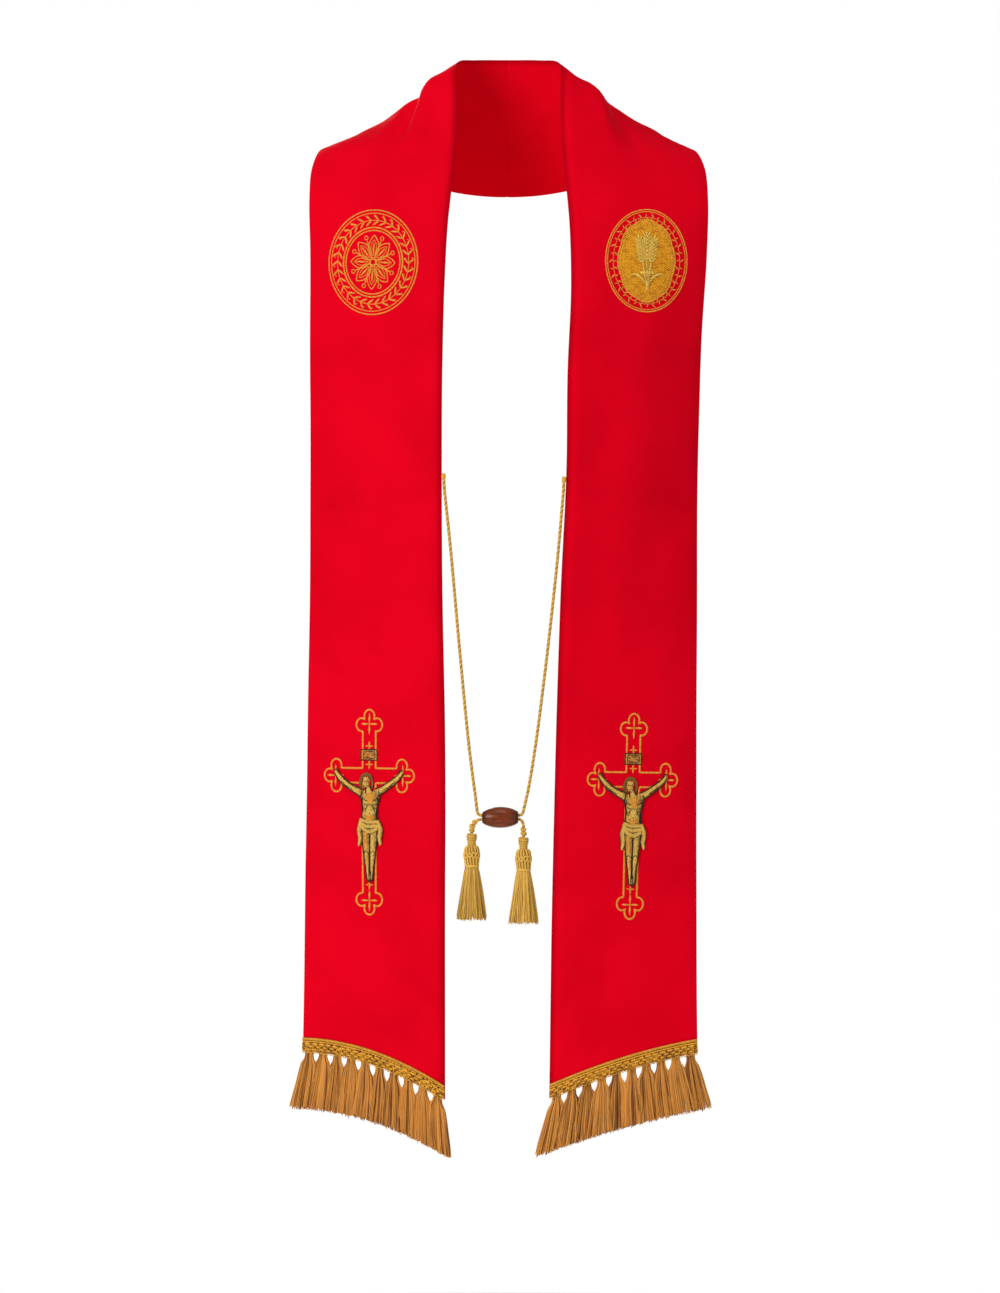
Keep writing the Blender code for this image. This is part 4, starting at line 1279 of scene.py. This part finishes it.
cordLook = {
    "diameter": 4.0, "rope": 2.2, "twist": 6.4, "gap": 0.3, "runIn": 34.0, "bend": 1.6, "pairOffset": 2.25,
    "beadCentre": (-8.5, -129.0, -880.5), "beadLength": 45.0, "beadRadius": 13.1, "endShare": 0.857,
    "bore": 4.75,
    "left": [(-79.2, -128, -452), (-78.2, -128.5, -470), (-70, -129, -550), (-60, -129, -662),
             (-49.8, -129, -770), (-43.4, -129, -825), (-40, -129, -850)],
    "right": [(71.0, -128, -456), (70.2, -128.5, -474), (62.5, -129, -562), (51, -129, -668),
              (38.7, -129, -768), (30.2, -129, -825), (25.6, -129, -850)],
    "leftTassel": (20.5, -129.0, -905.0), "rightTassel": (-44.0, -129.0, -900.5),
    # knots between the bead and each tassel: distance above the tassel, and radius of the turns
    "leftKnots": [(3.6, 2.5), (9.2, 2.3)], "rightKnots": [(3.4, 2.3), (8.6, 2.5), (14.4, 2.2)],
    # a knot's height along the cord, its turns, the radius of its rope and that rope's twist
    "knot": (3.0, 1.35, 1.8, 8.0),
    # the whipping that sews each cord to its panel: turns, radius, drop, height and thickness
    "whipping": (5, 2.3, 0.6, 5.0, 0.55),
}


def cordRoute(side):
    look = cordLook
    way = 1 if side == "left" else -1
    centre, half, offset = np.array(look["beadCentre"]), look["beadLength"] / 2, look["pairOffset"]
    bend = look["bend"] * look["diameter"]
    mouth = centre + [-way * half, 0, offset]
    turnIn = [mouth + [-way * bend * math.cos(a), 0, bend * (1 - math.sin(a))] for a in (0.3, 0.7, 1.15)]
    # the two cords pass each other inside the bead
    through = [centre + [way * (share * 2 - 1) * half, -offset * math.sin(math.pi * share) * way,
                         offset * math.cos(math.pi * share)] for share in np.linspace(0, 1, 9)]
    foot = centre + [way * half, 0, -offset]
    end = np.array(look[side + "Tassel"]) + [0, 0, look["gap"]]
    reach, drop = abs(end[0] - foot[0]), foot[2] - end[2]
    turnOut = [foot + [way * reach * math.sin(a), 0, -min(drop * 0.72, reach * 1.3) * (1 - math.cos(a))]
               for a in (0.5, 1.0, math.pi / 2)]
    tail = [end + [0, 0, -part * look["runIn"] / 4] for part in range(1, 5)]
    return np.array([*smoothLine(look[side], 16.0), *smoothLine(turnIn, 4.0), *through, *turnOut, end,
                     *tail]) * mm


def lathe(name, profile, turns, centre, axis="Z"):
    # profile: (down or along, radius) in mm, closed from its last place back to its first
    place, radius = np.array(profile).T[:, :, None]
    turn = 2 * math.pi * np.arange(turns) / turns
    place, first, second = np.broadcast_arrays(place, radius * np.cos(turn), radius * np.sin(turn))
    offset = (place, second, first) if axis == "X" else (first, second, -place)
    piece = makeMesh(name, ((np.array(centre) + np.stack(offset, axis=2)) * mm).reshape(-1, 3),
                     gridFaces(len(profile), turns, closed=True))
    fixNormals(piece)
    return piece


def makeBead():
    # an oval cut off square at both ends, with a narrow flat rim round each mouth
    look = cordLook
    half = look["beadLength"] / 2
    profile = [(share * half, look["beadRadius"] * math.sqrt(1 - (look["endShare"] * share) ** 2))
               for share in np.linspace(-1, 1, 41)]
    rim, bore = profile[0][1], look["bore"]
    profile[0], profile[-1] = (-half + 0.25, rim), (half - 0.25, rim)
    mouth = [(half, rim - 0.35), (half, bore + 0.5), (half - 0.6, bore)]
    profile += mouth + [(0.0, bore)] + [(-place, radius) for place, radius in reversed(mouth)]
    bead = lathe("turnedBead", profile, 64, look["beadCentre"], "X")
    bead.data.materials.append(wood)
    return finishPiece(bead, "bead", "bead")


tasselLook = {
    # a wound button, a neck and a looped head, as distance down and radius, all in mm
    "rings": [(0.0, 3.4), (0.5, 5.4), (1.2, 6.4), (3.0, 6.7), (5.6, 6.6), (6.4, 5.9), (7.2, 6.5), (8.6, 6.2),
              (9.4, 5.4), (15.0, 5.3), (16.4, 7.6), (19.5, 8.9), (26.0, 9.1), (33.0, 9.0), (37.5, 8.7),
              (39.0, 7.9), (41.5, 8.0)],
    # thread wound from the top down to the neck: from, to, turns and thickness
    "winding": (0.3, 16.0, 17, 0.52),
    # loops over the head: how many, from, to, and thickness
    "loops": (22, 15.6, 40.5, 1.05),
    # a netted tie round the middle of the head, and a firm one where the skirt begins: level, wave, turns and
    # thickness
    "ties": [(27.0, 3.2, 1, 0.8), (27.0, -3.2, 1, 0.8), (39.4, 0.0, 3, 0.7)],
    "locks": 84, "strands": 4, "skirtTop": 41.0, "length": 65.5, "topRadius": 7.6, "endRadius": 18.7,
    "thick": 0.55,
    # share of the locks that stand round the outside, and how far out
    "outer": 0.6, "outerReach": 0.93,
}


def makeTassel(name, node, top, seed):
    look = tasselLook
    rng = np.random.default_rng(seed)
    down, radius = np.array(look["rings"]).T

    def around(turn, level, away):
        return (np.array(top) + np.stack([away * np.cos(turn), away * np.sin(turn), -level], axis=1)) * mm

    # a solid core under the threads; its darker tone, showing between the loops, is painted shade
    profile = [(0.9, 0.05), *((place + 0.9, size - 0.9) for place, size in look["rings"]),
               (down[-1] + 1.0, 0.05)]
    core = lathe(name + "Core", profile, 28, top)
    # painted shade: the core is darker than the threads over it
    addPointValues(core, shade=np.full(len(core.data.vertices), 0.3))
    core.data.materials.append(tasselYarn)
    finishPiece(core, "tassel", node)
    start, end, turns, thick = look["winding"]
    wind = np.linspace(start, end, 620)
    turn = wind / end * 2 * math.pi * turns
    paths = [strand(around(turn, wind, np.interp(wind, down, radius) - 0.45), thick * mm,
                    0.62 + 0.25 * np.sin(turn * 1.7))]
    # the loops in lighter, random tones; the dark between them is the darker core, painted shade
    count, start, end, thick = look["loops"]
    level = np.linspace(start, end, 12)
    for number in range(count):
        lean = 0.16 * math.sin(number * 2.1) + 0.35 * (level - start) / 25
        away = np.interp(level, down, radius) - 0.15
        paths.append(strand(around(2 * math.pi * number / count + lean, level, away), thick * mm,
                            0.5 + 0.45 * rng.random()))
    for level, wave, turns, thick in look["ties"]:
        turn = np.linspace(0, 2 * math.pi * turns, 120 * turns)
        height = level + wave * np.sin(turn * 6) + (0.75 * turn / (2 * math.pi) if turns > 1 else 0)
        paths.append(strand(around(turn, height, np.interp(height, down, radius) + 0.75), thick * mm, 0.92))
    wound = layStrands(name + "Winding", paths, 6, tasselYarn, "tassel")
    # the skirt: strands keep together in locks of one shade
    paths = []
    t = np.linspace(0, 1, 9)
    outer = look["locks"] * look["outer"]
    for lock in range(look["locks"]):
        at, deep = rng.random() * 2 * math.pi, math.sqrt(0.12 + 0.88 * rng.random())
        shade = rng.normal(0, 0.26)
        if lock < outer:
            at, deep = 2 * math.pi * lock / outer, look["outerReach"]
        for number in range(look["strands"]):
            turn, share = at + rng.normal(0, 0.06), min(1.0, deep + rng.normal(0, 0.06))
            length = look["length"] * (1 + rng.normal(0, 0.018))
            spread = look["topRadius"] + (look["endRadius"] - look["topRadius"]) * t**0.85
            away = spread * share + 0.35 * np.sin(3 * t + turn * 5)
            swing = turn + rng.normal(0, 0.05) * t + 0.03 * np.sin(4 * t + number)
            # painted shade: strands deeper inside the skirt are darker, the outer ones lighter
            tone = 0.32 + 0.38 * share + shade + 0.16 * (rng.random() - 0.5)
            paths.append(strand(around(swing, look["skirtTop"] + length * t, away),
                                look["thick"] * mm * (1 - 0.3 * t**3), np.clip(tone, 0, 1)))
    skirt = layStrands(name + "Skirt", paths, 4, tasselYarn, "tassel")
    return [core, wound, skirt]


def makeKnots(side, centre):
    # turns of the cord pulled tight round itself between the bead and the tassel
    look = cordLook
    run = runAlong(centre)
    top = run[-1] - look["runIn"] * mm
    t = np.linspace(0, 1, 90)
    height, turns, radius, twist = look["knot"]
    ropes = []
    for number, (above, reach) in enumerate(look[side + "Knots"]):
        axis = pointsAt(centre, run, top - above * mm + (t - 0.5) * height * mm)
        ahead = unit(np.gradient(axis, axis=0))
        aside = unit(np.cross(ahead, (0.0, 1.0, 0.0)))
        turn = 2 * math.pi * turns * t + number * 1.9
        line = axis + reach * mm * (np.cos(turn)[:, None] * aside
                                    + np.sin(turn)[:, None] * np.cross(ahead, aside))
        # painted shade: each knot's rope has a near-black core in its grooves
        ropes += twistedRope(denser(line, 0.0006), radius * mm, 0.44, twist * mm, seed=3 + number, shade=0.6,
                             core=0.55)
    return layStrands(side + "Knots", ropes, 6, cordYarn, "cord")


def makeWhipping(side, top):
    # the cord's end is whipped and sewn to the panel's edge
    turns, radius, drop, height, thick = cordLook["whipping"]
    t = np.linspace(0, 2 * math.pi * turns, 120)
    wrap = top / mm + np.stack([radius * np.cos(t), radius * np.sin(t), -drop - height * t / t[-1]], axis=1)
    return layStrands(side + "CordWhipping", [strand(wrap * mm, thick * mm, 0.7)], 6, cordYarn, "cord")


def makeCord(side):
    look = cordLook
    # the route again as a finer curve, so that the rope bends without corners
    centre = denser(smoothLine(cordRoute(side), 0.0009, int), 0.0009)
    # painted shade: one ply darker than the other and a near-black core, for the notches and grooves of the
    # twist
    ropes = twistedRope(centre, look["rope"] * mm, 0.55, look["twist"] * mm, seed=31, shade=0.62, strands=2,
                        core=0.52, notchShade=0.26)
    cord = layStrands(side + "Cord", ropes, 7, cordYarn, "cord", side + "_cord")
    whipping = makeWhipping(side, centre[0])
    knots = makeKnots(side, centre)


# the cords cross in the bead, so each ends in the tassel on the other hand
bead = makeBead()
leftCordTassel = makeTassel("rightHandTassel", "right_tassel", cordLook["leftTassel"], 41)
rightCordTassel = makeTassel("leftHandTassel", "left_tassel", cordLook["rightTassel"], 42)
makeCord("left")
makeCord("right")
print("cords, bead and tassels made")


# Floor, light and camera

stageLook = {
    "floor": -1.62, "radius": 1.5, "sides": 96, "ambient": 0.42,
    # each light's place, aim, size and power
    "lights": {
        "keyLight": ((-2.3, -3.0, 0.1), (0, 0, -0.55), 1.7, 65),
        "fillLight": ((3.6, -5.2, 0.6), (0, 0, -0.7), 3.0, 14),
        "topLight": ((0.0, -1.6, 3.4), (0, 0, -0.6), 2.2, 30),
        "backLight": ((-1.6, 4.6, 0.9), (0, 0, -0.6), 2.6, 120),
    },
    # the photo is 1000 x 1293 pixels, each 1.25 mm of the object at the plane of the fronts
    "aim": (-0.00875, -0.1, -0.668), "cameraHeight": -0.36, "distance": 12.5, "pictureTall": 1.25 * 1293 * mm,
}


def makeStage():
    # a round pale floor just under the fringe, small enough to see the part from every side
    radius, level, sides = stageLook["radius"], stageLook["floor"], stageLook["sides"]
    points = [(0.0, 0.0, level)] + [(radius * math.cos(a), radius * math.sin(a), level)
                                    for a in np.linspace(0, 2 * math.pi, sides, endpoint=False)]
    floor = makeMesh("studioFloor", points, [(0, 1 + k, 1 + (k + 1) % sides) for k in range(sides)])
    # matt painted board: white with no gloss
    floor.data.materials.append(newMaterial("mattPaintedBoard", Base_Color=hexColor("#F6F6F6"), Roughness=0.9,
                                            Specular_IOR_Level=0.1)[0])
    # the room is a plain white backdrop to look at and a softer light on the part
    world = bpy.data.worlds.new("studio")
    world.use_nodes = True
    tree = world.node_tree
    path = addNode(tree, "ShaderNodeLightPath")
    strength = addNode(tree, "ShaderNodeMapRange", {0: path.outputs["Is Camera Ray"], 3: stageLook["ambient"],
                                                    4: 1.0})
    tree.nodes["Background"].inputs["Color"].default_value = (1, 1, 1, 1)
    tree.links.new(strength.outputs[0], tree.nodes["Background"].inputs["Strength"])
    bpy.context.scene.world = world


def addLight(name, place, aim, size, power):
    data = bpy.data.lights.new(name, "AREA")
    data.shape, data.size, data.energy = "DISK", size, power
    light = bpy.data.objects.new(name, data)
    light.location = place
    light.rotation_euler = (Vector(aim) - Vector(place)).to_track_quat("-Z", "Y").to_euler()
    bpy.context.scene.collection.objects.link(light)


def makeCamera():
    look = stageLook
    aim = Vector(look["aim"])
    data = bpy.data.cameras.new("camera")
    camera = bpy.data.objects.new("camera", data)
    camera.location = (aim.x, aim.y - look["distance"], look["cameraHeight"])
    toAim = aim - camera.location
    camera.rotation_euler = toAim.to_track_quat("-Z", "Y").to_euler()
    data.sensor_width = 36
    data.lens = data.sensor_width * toAim.length / look["pictureTall"]
    bpy.context.scene.collection.objects.link(camera)
    bpy.context.scene.camera = camera


makeStage()
for name, settings in stageLook["lights"].items():
    addLight(name, *settings)
makeCamera()
bpy.context.scene.view_settings.view_transform = "Standard"
print("stage made")
